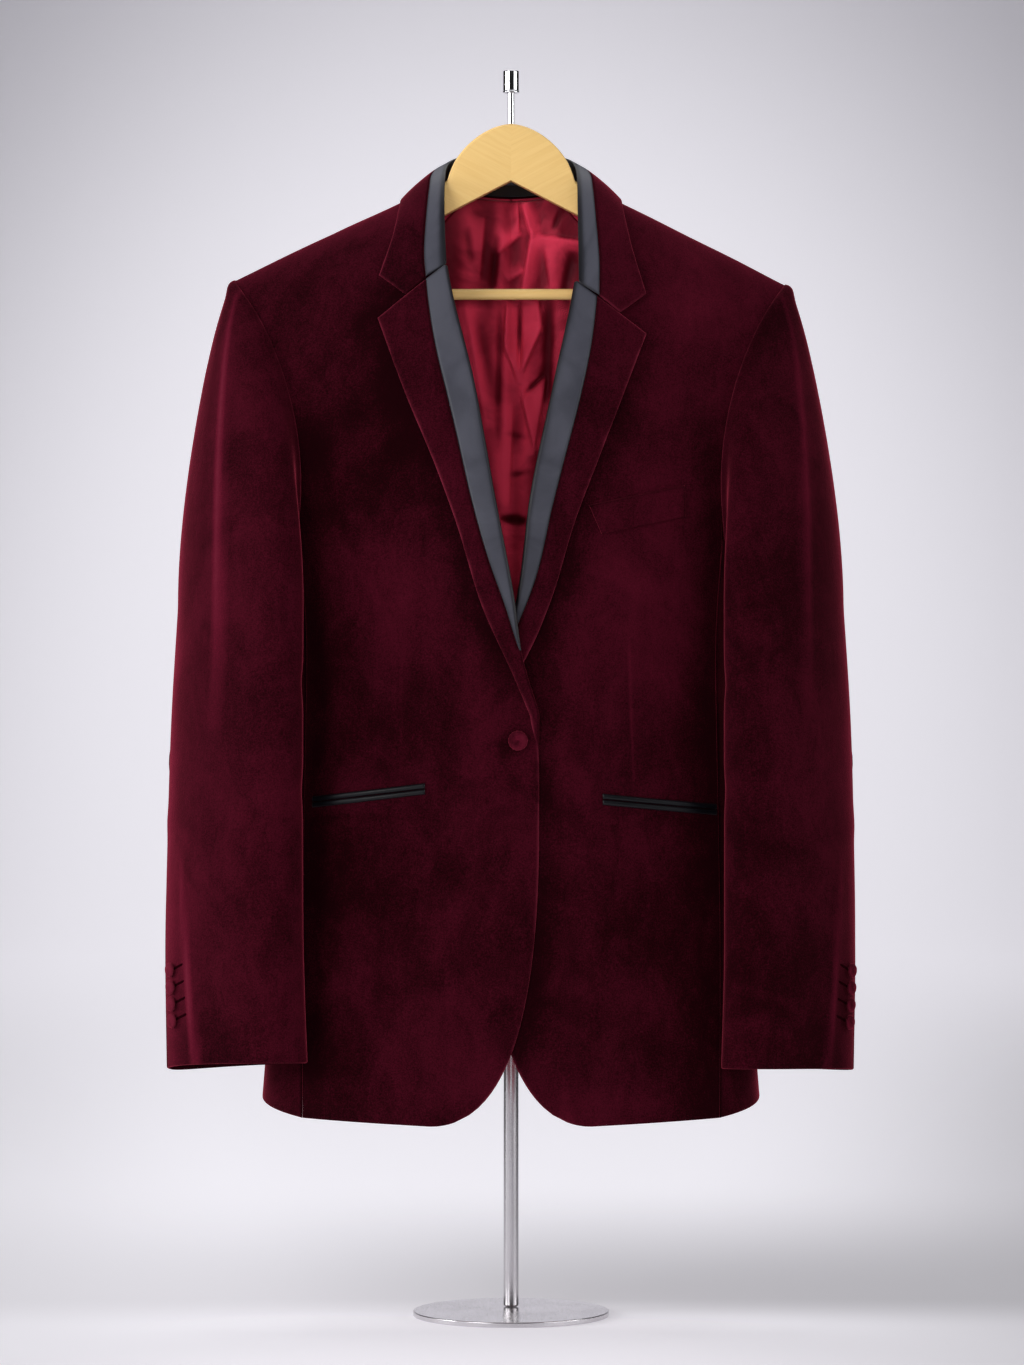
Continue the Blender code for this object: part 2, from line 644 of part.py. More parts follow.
def add_side(side, parent):
    """One side panel, from the hem up to the bottom of the armhole."""
    grid = []
    normals = []
    turns = armhole_turns(CAP_SHARE, 1 - CAP_SHARE)
    for row in range(LOW_ROWS + 1):
        line = []
        line_normals = []
        for turn in turns:
            share = (turn - 0.5) / (0.5 - CAP_SHARE)
            hem = SIDE_HEM_Z + (BACK_HEM_Z - SIDE_HEM_Z) * 0.5 * (1 + share)
            z = hem + (side_top(share) - hem) * low_level(row)
            angle = abs(share) * seam_angle(z, -1 if share < 0 else 1)
            if abs(share) > 0.99:
                angle -= math.copysign(SEAM_GAP / curve(TORSO_LEVELS["z"], TORSO_LEVELS["front"], z), share)
            normal = side_normal(angle, z, side)
            if row == LOW_ROWS:
                normal, _ = edge_normals(turn, side)
            line.append(side_point(angle, z, side))
            line_normals.append(normal)
        grid.append(line)
        normals.append(line_normals)
    add_wall("side_left" if side < 0 else "side_right", grid, normals, VELVET, "velvet", parent)


def add_sleeve(side, parent, rows=14):
    """A two-piece sleeve: the top sleeve outside, the under sleeve towards the body."""
    label = "left" if side < 0 else "right"
    trim = 0.5 * SEAM_GAP / SLEEVE_SEAM_SCALE
    start = SEAM_GAP / SLEEVE_SEAM_SCALE
    spans = {"top_sleeve_": (HIND_SEAM - 1, FORE_SEAM), "under_sleeve_": (FORE_SEAM, HIND_SEAM)}
    for name, (first, last) in spans.items():
        turns = armhole_turns(first, last)
        turns[0] += trim
        turns[-1] -= trim
        grid = []
        normals = []
        for row in range(rows + 1):
            share = start + (1 - start) * (row / rows) ** 1.1
            grid.append([sleeve_point(turn, share, side) for turn in turns])
            if row == 0:
                normals.append([edge_normals(turn, side)[1] for turn in turns])
            else:
                normals.append([sleeve_normal(turn, share, side) for turn in turns])
        add_wall(name + label, grid, normals, VELVET, "velvet", parent)


# Lapels and collar


def lapel_row(side, level):
    """Roll-line point, satin share and outer point of the lapel's row, in outward width and height."""
    edge = LAPEL_EDGE[side]
    roll_z = LAPEL_BOTTOM[side] + (GORGE[side]["roll"][1] - LAPEL_BOTTOM[side]) * level
    edge_z = edge["z"][0] + (edge["z"][-1] - edge["z"][0]) * level
    roll_x = curve(ROLL_LINE["z"], ROLL_LINE[side], roll_z)
    edge_x = curve(edge["z"], edge["x"], edge_z)
    width = curve(SATIN_WIDTH["z"], SATIN_WIDTH["width"], roll_z)
    share = min(0.9, width / math.hypot(edge_x - roll_x, edge_z - roll_z))
    return np.array((roll_x, roll_z)), share, np.array((edge_x, edge_z))


def lapel_lift(level, share):
    """Height of the lapel's upper face over the front."""
    rest = LAPEL_LIFT_LOW + (LAPEL_LIFT_HIGH - LAPEL_LIFT_LOW) * level
    return rest + LAPEL_CROWN * math.sin(math.pi * share) * level


def satin_levels(side, rows):
    """Levels of the rows that have satin, from its lower end to the gorge."""
    first = (SATIN_END_Z - LAPEL_BOTTOM[side]) / (GORGE[side]["roll"][1] - LAPEL_BOTTOM[side])
    return np.linspace(first, 1.0, rows + 1)


def lapel_line(side, level, shares):
    """A row of the lapel's points and normals at these shares of its width."""
    roll, _, edge = lapel_row(side, level)
    line = []
    line_normals = []
    for share in shares:
        x, z = roll + (edge - roll) * share
        line.append(on_front(x, z, side, lapel_lift(level, share)))
        line_normals.append(torso_normal(x, z, side, -1))
    return line, line_normals


def add_lapel(side, parent, rows=12, plain_rows=3, columns=5):
    """The velvet of one lapel, between the satin strip and the lapel's edge."""
    levels = satin_levels(side, rows)
    grid = []
    normals = []
    for level in np.concatenate([np.linspace(0, levels[0], plain_rows + 1)[:-1], levels]):
        roll, satin, edge = lapel_row(side, level)
        low = satin + SEAM_GAP / np.linalg.norm(edge - roll) if level >= levels[0] else 0.0
        line, line_normals = lapel_line(side, level, np.linspace(low, 1, columns + 1))
        grid.append(line)
        normals.append(line_normals)
    add_wall("lapel_left" if side < 0 else "lapel_right", grid, normals, VELVET, "velvet", parent)


def add_lapel_satin(side, parent, rows=12, columns=3, turns=4):
    """The satin strip of one lapel, which turns round the roll line and hides the front's cut edge."""
    grid = []
    normals = []
    outward = np.array((side, 0.0, 0.0))
    for level in satin_levels(side, rows):
        roll, satin, edge = lapel_row(side, level)
        length = np.linalg.norm(edge - roll)
        radius = min(ROLL_RADIUS, 0.5 * satin * length)
        line, line_normals = lapel_line(side, level, np.linspace(satin, radius / length, columns + 1))
        up = line_normals[-1]
        centre = line[-1] - radius * up
        for turn in range(1, turns + 1):
            angle = math.radians(ROLL_TURN) * turn / turns
            normal = unit(-math.sin(angle) * outward + math.cos(angle) * up)
            line.append(centre + radius * normal)
            line_normals.append(normal)
        grid.append(line)
        normals.append(line_normals)
    name = "lapel_satin_left" if side < 0 else "lapel_satin_right"
    add_wall(name, grid, normals, min(SATIN, 0.9 * ROLL_RADIUS), "satin", parent)


def collar_station(place):
    """Fold, neck, satin-edge, middle and leaf points at a place from -1, left gorge, to 1, right gorge."""
    side = -1 if place < 0 else 1
    last = len(COLLAR_ROWS) - 1
    table = np.array(COLLAR_ROWS)
    middles = 0.5 * (table[:, 2] + table[:, 3])
    middles[:, 2] += COLLAR_CROWN
    notch_x, notch_z = GORGE[-1]["notch"]
    middles[0] = (notch_x, NOTCH_Y, notch_z + GORGE_GAP)
    table = np.concatenate([table, middles[:, None]], axis=1)
    for row, share in enumerate(GORGE_DROP_SHARE):
        table[row] += share * np.array(GORGE_DROP[side])
    spot = (1 - abs(place)) * last
    points = []
    for column in range(5):
        values = [curve(range(last + 1), table[:, column, axis], spot) for axis in range(3)]
        points.append(np.array((side * values[0], values[1], values[2])))
    fold, neck, satin, leaf, middle = points
    return fold, neck, satin, middle, leaf


def bow(a, b, c, t):
    """A point on the smooth arc that runs from a past b to c."""
    control = 2 * b - 0.5 * (a + c)
    return (1 - t) ** 2 * a + 2 * t * (1 - t) * control + t * t * c


def leaf_line(place, columns):
    """The velvet's points across the collar at one place; the end rows turn at the notch."""
    _, _, satin, middle, leaf = collar_station(place)
    line = []
    for t in np.linspace(0, 1, columns + 1):
        if abs(place) < 1:
            line.append(bow(satin, middle, leaf, t))
        elif t <= 0.5:
            line.append(satin + (middle - satin) * 2 * t)
        else:
            line.append(middle + (leaf - middle) * (2 * t - 1))
    line[0] = line[0] + SEAM_GAP * unit(middle - satin)
    return line


def stand_line(place, outside, inside):
    """The satin's points across the collar at one place: over the fold and down the stand."""
    fold, neck, satin, _, _ = collar_station(place)
    line = [satin + (fold - satin) * t for t in np.linspace(0, FOLD_START, outside + 1)]
    return line + [fold + (neck - fold) * t for t in np.linspace(0, 1, inside + 1)]


def add_collar(parent, stations=24, columns=4, outside=2, inside=4):
    """The velvet leaf and the satin strip with the stand, which share the direction of their cut edges."""
    places = np.linspace(-1, 1, stations + 1)
    leaf = np.array([leaf_line(place, columns) for place in places])
    stand = np.array([stand_line(place, outside, inside) for place in places])
    leaf_normals = grid_normals(leaf, np.array((0.0, 1.0, 0.6)))
    stand_normals = grid_normals(stand, np.array((0.0, -0.4, 1.0)))
    shared = leaf_normals[:, 0] + stand_normals[:, 0]
    shared /= np.linalg.norm(shared, axis=1, keepdims=True)
    leaf_normals[:, 0] = shared
    stand_normals[:, 0] = shared
    add_wall("collar", leaf, leaf_normals, VELVET, "velvet", parent)
    add_wall("collar_satin", stand, stand_normals, SATIN, "satin", parent)
    middle = stations // 2
    along = slice(middle - LABEL_STATIONS, middle + LABEL_STATIONS + 1)
    across = slice(outside + 2, outside + inside + 1)
    base = stand[along, across]
    base_normals = stand_normals[along, across]
    face = base + (SEAM_GAP + LABEL_THICKNESS) * base_normals
    add_wall("neck_label", face, base_normals, LABEL_THICKNESS, "label", parent)


# Pockets, buttons and lining


def add_strip(name, corners, side, thickness, finish_name, parent, columns=12, rows=1):
    """A flat strip that lies on a front, between four corners given as outward width and height."""
    low_in, low_out, high_in, high_out = (np.array(corner) for corner in corners)
    grid = []
    normals = []
    for t in np.linspace(0, 1, rows + 1):
        line = []
        line_normals = []
        for s in np.linspace(0, 1, columns + 1):
            low = low_in + (low_out - low_in) * s
            high = high_in + (high_out - high_in) * s
            x, z = low + (high - low) * t
            line.append(on_front(x, z, side, STRIP_CLEAR + thickness))
            line_normals.append(torso_normal(x, z, side, -1))
        grid.append(line)
        normals.append(line_normals)
    add_wall(name, grid, normals, thickness, finish_name, parent)


def add_pockets(parent):
    """Two satin jets at each hip, and the velvet welt on the chest."""
    for side, name in ((-1, "left"), (1, "right")):
        inner = np.array(HIP_POCKET[side]["inner"])
        outer = np.array(HIP_POCKET[side]["outer"])
        for place, low in (("upper", 0.5 * SEAM_GAP), ("lower", -0.5 * SEAM_GAP - JET_WIDTH)):
            down = np.array((0.0, low))
            up = np.array((0.0, low + JET_WIDTH))
            corners = (inner + down, outer + down, inner + up, outer + up)
            add_strip("pocket_jet_" + place + "_" + name, corners, side, SATIN, "satin", parent)
    inner = np.array(CHEST_WELT["inner"])
    outer = np.array(CHEST_WELT["outer"])
    low_inner = inner + np.array((CHEST_WELT["slant"], -CHEST_WELT["inner_height"]))
    low_outer = outer - np.array((0.0, CHEST_WELT["outer_height"]))
    corners = (low_inner, low_outer, inner, outer)
    add_strip("chest_welt", corners, 1, VELVET, "velvet", parent, columns=8, rows=2)


def add_button(name, seat, axis, diameter, height, parent, around=12):
    """A covered button: a shallow dome with a rolled rim on a short shank."""
    axis = unit(axis)
    helper = unit(np.cross(axis, np.array((0.0, 0.0, 1.0))))
    other = np.cross(helper, axis)
    points = []
    for radius, rise in zip(BUTTON_PROFILE["radius"], BUTTON_PROFILE["rise"]):
        for step in range(around):
            angle = 2 * math.pi * step / around
            arm = diameter * radius * (math.cos(angle) * helper + math.sin(angle) * other)
            points.append(seat + arm + height * rise * axis)
    rings = len(BUTTON_PROFILE["rise"])
    foot = len(points)
    points += [seat, seat + height * axis]
    faces = ring_faces(rings, around)
    last = (rings - 1) * around
    for step in range(around):
        after = (step + 1) % around
        faces.append((foot, after, step))
        faces.append((foot + 1, last + step, last + after))
    faces = [tuple(reversed(face)) for face in faces]
    add_object(name, points, faces, "velvet", parent)


def add_buttons(parent):
    """The front button on the upper front, and four buttons along each hind seam."""
    x = -FRONT_BUTTON["x"]
    z = FRONT_BUTTON["z"]
    normal = torso_normal(x, z, -1, -1)
    seat = on_front(x, z, -1, BUTTON_CLEAR)
    add_button("front_button", seat, normal, FRONT_BUTTON["diameter"], FRONT_BUTTON["height"], parent)
    length = SLEEVE_LEVELS["z"][0] - SLEEVE_LEVELS["z"][-1]
    for side, name in ((-1, "left"), (1, "right")):
        turn = HIND_SEAM - 1 + CUFF_BUTTON["inset"]
        for count in range(CUFF_BUTTON["count"]):
            z = CUFF_BUTTON["lowest"] + CUFF_BUTTON["pitch"] * count
            share = CAP_SHARE + (1 - CAP_SHARE) * (SLEEVE_LEVELS["z"][0] - z) / length
            normal = sleeve_normal(turn, share, side)
            seat = sleeve_point(turn, share, side) + BUTTON_CLEAR * normal
            name_here = "cuff_button_" + name + "_" + str(count + 1)
            diameter = CUFF_BUTTON["diameter"]
            add_button(name_here, seat, normal, diameter, CUFF_BUTTON["height"], parent, around=9)


def highest(x, reach, side, face):
    """Greatest height at which the cloth still stands this far from the hanger's plane."""
    low = PIT_Z
    high = ridge(x, side)
    for _ in range(30):
        middle = 0.5 * (low + high)
        if depth(x, middle, side, face) >= reach:
            low = middle
        else:
            high = middle
    return low


def lining_fold(x, rise):
    """How far the lining stands in from the back at a width and a share of its height."""
    total = 0.0
    for top, bottom, width, deep in zip(*(LINING_FOLDS[key] for key in ("top", "bottom", "width", "depth"))):
        middle = bottom + (top - bottom) * rise
        total += deep * math.exp(-((x - middle) / width) ** 2)
    ease = math.sin(math.pi * (LINING_EASE["foot"] - LINING_EASE["run"] * rise))
    return total * ease ** LINING_EASE["power"]


def add_lining(parent, rows=10, columns=22):
    """The back lining, hung from the neck seam in soft folds."""
    grid = []
    for rise in np.linspace(0, 1, rows + 1):
        line = []
        for x in np.linspace(-LINING_HALF_WIDTH, LINING_HALF_WIDTH, columns + 1):
            side = -1 if x < 0 else 1
            neck = back_neck(min(abs(x), NECK_X)) - LINING_NECK_DROP
            top = min(neck, highest(abs(x), LINING_TOP_REACH, side, 1))
            z = LINING_BOTTOM + (top - LINING_BOTTOM) * rise
            run = min(1.0, (1 - rise) / LINING_CLEAR_RUN)
            clear = LINING + LINING_TOP_CLEAR + (LINING_CLEAR - LINING_TOP_CLEAR) * run
            place, _, _, _ = BACK_FACES[side].ray_cast(Vector((x, 0.0, z)), Vector((0.0, 1.0, 0.0)))
            behind = depth(abs(x), z, side, 1) - VELVET if place is None else place[1]
            line.append(np.array((x, behind - clear - lining_fold(x, rise), z)))
        grid.append(line)
    normals = grid_normals(grid, np.array((0.0, -1.0, 0.0)))
    add_wall("back_lining", grid, normals, LINING, "lining", parent)


# Hanger and stand


def crown(x):
    """Height of the hanger's crown."""
    inside = max(0.0, 1 - (x / CROWN_HALF_WIDTH) ** CROWN_SQUARENESS)
    return CROWN_FOOT + (CROWN_TOP - CROWN_FOOT) * inside ** (1 / CROWN_SQUARENESS)


def under_shoulder(x, y, side):
    """Top of the hanger under the shoulder cloth at a width and a depth."""
    tops = []
    clear = RIDGE_CLEAR + (SHOULDER_CLEAR - RIDGE_CLEAR) * min(1.0, 4 * abs(y) / HANGER_THICKNESS)
    for face in (-1, 1):
        tops.append(highest(x, abs(y), side, face) - 1.2 * VELVET - clear)
        tops.append(highest(x, abs(y) + 1.5 * VELVET + clear, side, face))
    return min(tops)


def hanger_section(x, side):
    """Outline of the hanger at one width: bottom edge, then up the front, over the top and down the back."""
    half = HANGER_THICKNESS / 2
    bottom = NOTCH_PEAK - (NOTCH_PEAK - NOTCH_END_Z) * x / NOTCH_END_X
    if x > NOTCH_END_X:
        bottom = NOTCH_END_Z - ARM_SLOPE * (x - NOTCH_END_X)
    if x > BAR_HALF_LENGTH:
        bottom = TIP_BOTTOM
    bevel = HANGER_EDGE_ROUND / 3
    outline = [(half - bevel, bottom), (-half + bevel, bottom), (-half, bottom + bevel)]
    for y in half * np.array((-1.0, -0.8, -0.5, 0.0, 0.5, 0.8, 1.0)):
        edge = max(0.0, abs(y) - half + HANGER_EDGE_ROUND)
        round_off = HANGER_EDGE_ROUND - math.sqrt(HANGER_EDGE_ROUND ** 2 - edge ** 2)
        top = crown(min(x, CROWN_END_X)) - round_off
        if x > CROWN_BLEND_X:
            blend = min(1.0, (x - CROWN_BLEND_X) / (NECK_X - CROWN_BLEND_X))
            top += (under_shoulder(max(x, NECK_X), y, side) - top) * blend ** 2
        outline.append((y, top))
    outline.append((half, bottom + bevel))
    return outline


def add_hanger_half(side, parent, cutter):
    """One mitred half of the hanger, from the centre seam to its tip."""
    crown_stations = np.concatenate([[SEAM_GAP / 2], np.linspace(0.010, NECK_X, 9)])
    arm_stations = np.linspace(NECK_X, BAR_HALF_LENGTH, 9)[1:]
    tip_stations = (BAR_HALF_LENGTH + SEAM_GAP, 0.5 * (BAR_HALF_LENGTH + HANGER_TIP_X), HANGER_TIP_X)
    stations = np.concatenate([crown_stations, arm_stations, tip_stations])
    points = []
    for x in stations:
        section = hanger_section(x, side)
        if x == HANGER_TIP_X:
            top = max(z for _, z in section)
            section = [(0.75 * y, z - HANGER_EDGE_ROUND if z > top - 0.02 else z) for y, z in section]
        points += [(side * x, y, z) for y, z in section]
    size = len(points) // len(stations)
    faces = ring_faces(len(stations), size)
    faces.append(tuple(range(size - 1, -1, -1)))
    faces.append(tuple(range((len(stations) - 1) * size, len(stations) * size)))
    if side > 0:
        faces = [tuple(reversed(face)) for face in faces]
    half = add_object("hanger_left" if side < 0 else "hanger_right", points, faces, "wood", parent)
    bore = half.modifiers.new("shank bore", "BOOLEAN")
    bore.operation = "DIFFERENCE"
    bore.object = cutter


def add_turned(name, profile, finish_name, location, parent=None, around=32, axis="Z"):
    """A turned solid from radius and height pairs, bottom to top, closed on its axis."""
    points = []
    for radius, height in profile:
        for step in range(around):
            angle = 2 * math.pi * step / around
            points.append((radius * math.cos(angle), radius * math.sin(angle), height))
    faces = ring_faces(len(profile), around)
    faces.append(tuple(range(around - 1, -1, -1)))
    last = (len(profile) - 1) * around
    faces.append(tuple(range(last, last + around)))
    thing = add_object(name, points, faces, finish_name, parent)
    thing.location = location
    if axis == "X":
        thing.rotation_euler = (0, math.radians(90), 0)
    return thing


def add_hanger(parent):
    """Two wooden halves, the round trouser bar between the tips, and the steel shank."""
    radius = ROD_DIAMETER / 2
    bore_bottom = CROWN_TOP - SHANK_DEPTH
    cutter_profile = ((radius + SEAM_GAP, 0.0), (radius + SEAM_GAP, 1.5 * SHANK_DEPTH))
    cutter = add_turned("shank_bore_cutter", cutter_profile, "wood", (0, 0, bore_bottom), parent, around=20)
    cutter.hide_render = True
    cutter.display_type = "WIRE"
    for side in (-1, 1):
        add_hanger_half(side, parent, cutter)
    bar = BAR_DIAMETER / 2
    half = BAR_HALF_LENGTH
    bevel = BAR_BEVEL
    bar_profile = ((bar - bevel, -half), (bar, bevel - half), (bar, half - bevel), (bar - bevel, half))
    add_turned("trouser_bar", bar_profile, "wood", (0, 0, BAR_Z), parent, around=20, axis="X")
    low = bore_bottom + SEAM_GAP
    high = SOCKET_BOTTOM + SOCKET_BORE_DEPTH - SEAM_GAP
    tall = high - low
    bevel = SMALL_BEVEL
    shank_profile = ((radius - bevel, 0.0), (radius, bevel), (radius, tall - bevel), (radius - bevel, tall))
    add_turned("hanger_shank", shank_profile, "chrome", (0, 0, low), parent, around=16)


def add_neck_rod():
    """The rod that rises from the pole and bends forward to the socket."""
    start = POLE_TOP + SEAM_GAP
    height = 0.5 * (SOCKET_BOTTOM + SOCKET_TOP)
    front = HANGER_Y + SOCKET_DIAMETER / 2 + SEAM_GAP
    path = [(POLE_Y, start, 90.0), (POLE_Y, height - ROD_BEND, 90.0)]
    for step in range(1, 7):
        angle = math.radians(15 * step)
        y = POLE_Y - ROD_BEND * (1 - math.cos(angle))
        z = height - ROD_BEND * (1 - math.sin(angle))
        path.append((y, z, 90 + 15 * step))
    path.append((front, height, 180.0))
    radius = ROD_DIAMETER / 2
    around = 14
    points = []
    for y, z, heading in path:
        turn = math.radians(heading - 90)
        for step in range(around):
            angle = 2 * math.pi * step / around
            out = radius * math.sin(angle)
            points.append((radius * math.cos(angle), y + out * math.cos(turn), z + out * math.sin(turn)))
    faces = ring_faces(len(path), around)
    faces.append(tuple(range(around - 1, -1, -1)))
    faces.append(tuple(range((len(path) - 1) * around, len(path) * around)))
    add_object("stand_rod", points, faces, "chrome")


def add_stand():
    """Base plate, pole, bent rod and the socket that takes the hanger's shank."""
    radius = BASE_DIAMETER / 2
    rim = BASE_HEIGHT - BASE_BEVEL
    foot = radius - SMALL_BEVEL
    plate = ((foot, 0.0), (radius, SMALL_BEVEL), (radius, rim), (radius - BASE_BEVEL, BASE_HEIGHT))
    add_turned("stand_base", plate, "steel", (0, 0, 0), around=56)
    pole = POLE_DIAMETER / 2
    low = BASE_HEIGHT + SEAM_GAP
    high = POLE_TOP - low
    shaft = ((pole, 0.0), (pole, high - POLE_BEVEL), (pole - POLE_BEVEL, high))
    add_turned("stand_pole", shaft, "steel", (0, POLE_Y, low), around=24)
    add_neck_rod()
    outer = SOCKET_DIAMETER / 2
    bore = ROD_DIAMETER / 2 + SEAM_GAP
    tall = SOCKET_TOP - SOCKET_BOTTOM
    slim = outer - SMALL_BEVEL
    cup = ((bore, SOCKET_BORE_DEPTH), (bore, 0.0), (slim, 0.0), (outer, SMALL_BEVEL),
           (outer, tall - SMALL_BEVEL), (slim, tall))
    add_turned("stand_socket", cup, "chrome", (0, HANGER_Y, SOCKET_BOTTOM), around=24)


def main():
    """Clear the scene and build the stand, the hanger and the jacket."""
    for thing in list(bpy.data.objects):
        bpy.data.objects.remove(thing, do_unlink=True)
    plane = bpy.data.objects.new("hanger_plane", None)
    bpy.context.scene.collection.objects.link(plane)
    plane.location = (0, HANGER_Y, 0)
    add_stand()
    add_hanger(plane)
    for side in (-1, 1):
        add_front(side, plane)
        add_side(side, plane)
        add_back(side, plane)
        add_sleeve(side, plane)
        add_lapel(side, plane)
        add_lapel_satin(side, plane)
    add_collar(plane)
    add_pockets(plane)
    add_buttons(plane)
    add_lining(plane)


main()
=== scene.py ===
"""Velvet dinner jacket on a wooden hanger and a steel floor stand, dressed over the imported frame.

Every surface is worked out from the jacket's own cut: a torso with a front and a back face, two-piece
sleeves, lapels and a collar that fold over the fronts. Widths called x run outwards from the centre line,
side is -1 for the viewer's left and 1 for the right, face is -1 for the front and 1 for the back. Surfaces
are drawn about the hanger's plane, y = 0, and set down at HANGER_Y when their mesh is made, in metres.
"""
import math

import bpy
import numpy as np
from bpy.props import FloatProperty, FloatVectorProperty, PointerProperty
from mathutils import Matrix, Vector


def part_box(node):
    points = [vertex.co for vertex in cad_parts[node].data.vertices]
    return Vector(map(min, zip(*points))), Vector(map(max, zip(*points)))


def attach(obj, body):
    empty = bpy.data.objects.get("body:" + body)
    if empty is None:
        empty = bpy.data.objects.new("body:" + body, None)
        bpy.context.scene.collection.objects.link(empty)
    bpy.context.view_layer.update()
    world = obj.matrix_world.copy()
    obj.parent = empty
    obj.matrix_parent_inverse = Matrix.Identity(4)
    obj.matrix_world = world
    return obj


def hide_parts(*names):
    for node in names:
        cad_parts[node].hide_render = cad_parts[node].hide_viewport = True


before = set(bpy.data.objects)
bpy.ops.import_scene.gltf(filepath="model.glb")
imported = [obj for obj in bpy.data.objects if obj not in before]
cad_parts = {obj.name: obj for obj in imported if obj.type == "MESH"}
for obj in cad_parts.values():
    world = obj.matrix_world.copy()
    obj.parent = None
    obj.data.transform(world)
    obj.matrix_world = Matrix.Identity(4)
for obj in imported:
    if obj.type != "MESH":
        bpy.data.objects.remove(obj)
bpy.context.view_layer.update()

bl_info = {
    "name": "Velvet dinner jacket",
    "version": (1, 0, 0),
    "blender": (4, 5, 0),
    "location": "View3D > Sidebar > Jacket",
    "description": "Builds a velvet dinner jacket on its hanger stand, with a plain studio",
    "category": "Object",
}

SIDES = {-1: "left", 1: "right"}
FACES = {-1: "front", 1: "back"}
HANGER_Y = float(np.mean([corner[1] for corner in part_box("trouser_bar")]))

# Cloth
VELVET = 0.0018
SATIN = 0.0012
LINING = 0.001
SEAM_GAP = 0.0003
SEAM_ROUND = 0.0014
EDGE_ROUND = 0.0017
# Painted highlights along rolled and joined rims, by kind and fainter on worn ones, and painted shade in seam
# grooves
EDGE_LIGHT_WIDTH = 0.0013
EDGE_LIGHT = {"free": 1.0, "worn": 0.45, "joined": 0.6}
SEAM_DARK_WIDTH = 0.0016
RIM_STEPS = (0.0, 0.00025, 0.0007, 0.0013, 0.0021)
RIM_WIDTH = 0.0034
RIM_SHARE_MOST = 0.95

# Torso
PIT_Z = 0.622
NECK_X = 0.062
NECK_Z = 0.9315
SHOULDER_X = 0.2255
SHOULDER_Z = {-1: 0.854, 1: 0.85}
BACK_NECK_Z = 0.924
FRONT_HEM_Z = 0.167
SIDE_HEM_Z = 0.172
BACK_HEM_Z = 0.198
FRONT_OVERLAP = 0.0225
CUTAWAY_TOP = 0.405
CUTAWAY_WIDTH = 0.0875
BREAK_Z = 0.5
VENT_TOP = 0.43
VENT_HALF_GAP = 0.01
FRONT_ROUNDING = 1.3
SHOULDER_SEAM_ANGLE = math.radians(89.4)
TORSO_LEVELS = {
    "z": (0.16, 0.3, 0.4, 0.48, 0.56, 0.622, 0.7, 0.8, 0.96),
    "half_width": (0.2055, 0.194, 0.186, 0.18, 0.182, 0.189, 0.208, 0.238, 0.275),
    "front": (0.083, 0.081, 0.079, 0.078, 0.083, 0.087, 0.086, 0.08, 0.073),
    "back": (0.061, 0.054, 0.049, 0.046, 0.049, 0.052, 0.054, 0.0545, 0.054),
}
TORSO_SQUARENESS = 2.5
BACK_ROUNDING = {"x": (0.0, 0.03, 0.06, 0.1, 0.24), "power": (0.45, 0.62, 0.92, 1.15, 1.2)}

# Edges of the fronts above the break: the roll line, and the cut edge that the satin hides
ROLL_LINE = {
    "z": (0.5, 0.546, 0.59, 0.678, 0.767, 0.862, 0.9, NECK_Z),
    -1: (-0.0225, -0.009, -0.003, 0.0136, 0.0297, 0.0515, 0.0555, 0.0585),
    1: (-0.0225, -0.007, 0.004, 0.016, 0.0345, 0.053, 0.056, 0.0585),
}
ROLL_TRIM = 0.0035
ROLL_TRIM_RUN = 0.03
OVERLAP_END_X = 0.06
OVERLAP_RUN = 0.045
OVERLAP = {"z": (0.16, 0.45, 0.5, 0.53, 0.6, 0.66, 0.7),
           "lift": (0.0026, 0.0028, 0.0036, 0.0062, 0.0066, 0.0025, 0.0)}
PANEL_SEAM = {"z": (0.16, 0.3, 0.48, 0.56, 0.64), "front": (0.169, 0.17, 0.168, 0.167, 0.172),
              "back": (0.15, 0.148, 0.138, 0.146, 0.163)}
SIDE_SEAM_TOP = 0.64
ARMHOLE = {
    "z": (0.64, 0.688, 0.737, 0.786, 0.829, 0.852),
    "front": (0.172, 0.169, 0.174, 0.188, 0.209, SHOULDER_X),
    "back": (0.163, 0.168, 0.177, 0.192, 0.211, SHOULDER_X),
}

# Sleeves: an oval for each level from the cuff up, turned so that its front end lies before the body
SLEEVE_LEVELS = {
    "z": (0.208, 0.3, 0.4, 0.5, 0.585),
    "x": (0.2215, 0.2235, 0.2225, 0.2205, 0.2182),
    "y": (-0.055, -0.05, -0.047, -0.044, -0.04),
    "length": (0.064, 0.0655, 0.068, 0.07, 0.069),
    "outside": (0.028, 0.032, 0.034, 0.034, 0.032),
    "inside": (0.024, 0.026, 0.026, 0.024, 0.022),
    "turn": (27.0, 32.0, 38.0, 42.0, 44.0),
}
SLEEVE_TOP_ANGLE = 60.0
SLEEVE_UNDER_TWIST = 20.0
SLEEVE_LENGTH_FACTOR = {-1: 1.0, 1: 0.94}
SLEEVE_SHIFT = {-1: 0.0, 1: 0.002}
CUFF_RISE = {-1: 0.011, 1: 0.006}
CUFF_RISE_TURN = 0.2
CUFF_RISE_RUN = 0.12
CAP_REACH = 0.02
CAP_LEAN = {"out": 0.55, "out_top": 0.2, "front": 0.6, "down": 0.45}
CAP_FALL = 0.5
CAP_FALL_LEAST = 0.02
CAP_SHARE = 0.4
HIND_SEAM = 0.88
FORE_SEAM = 0.4
ARMHOLE_TUCK = 0.005
TUCK_RUN = {"foot": 0.04, "top": 0.06}

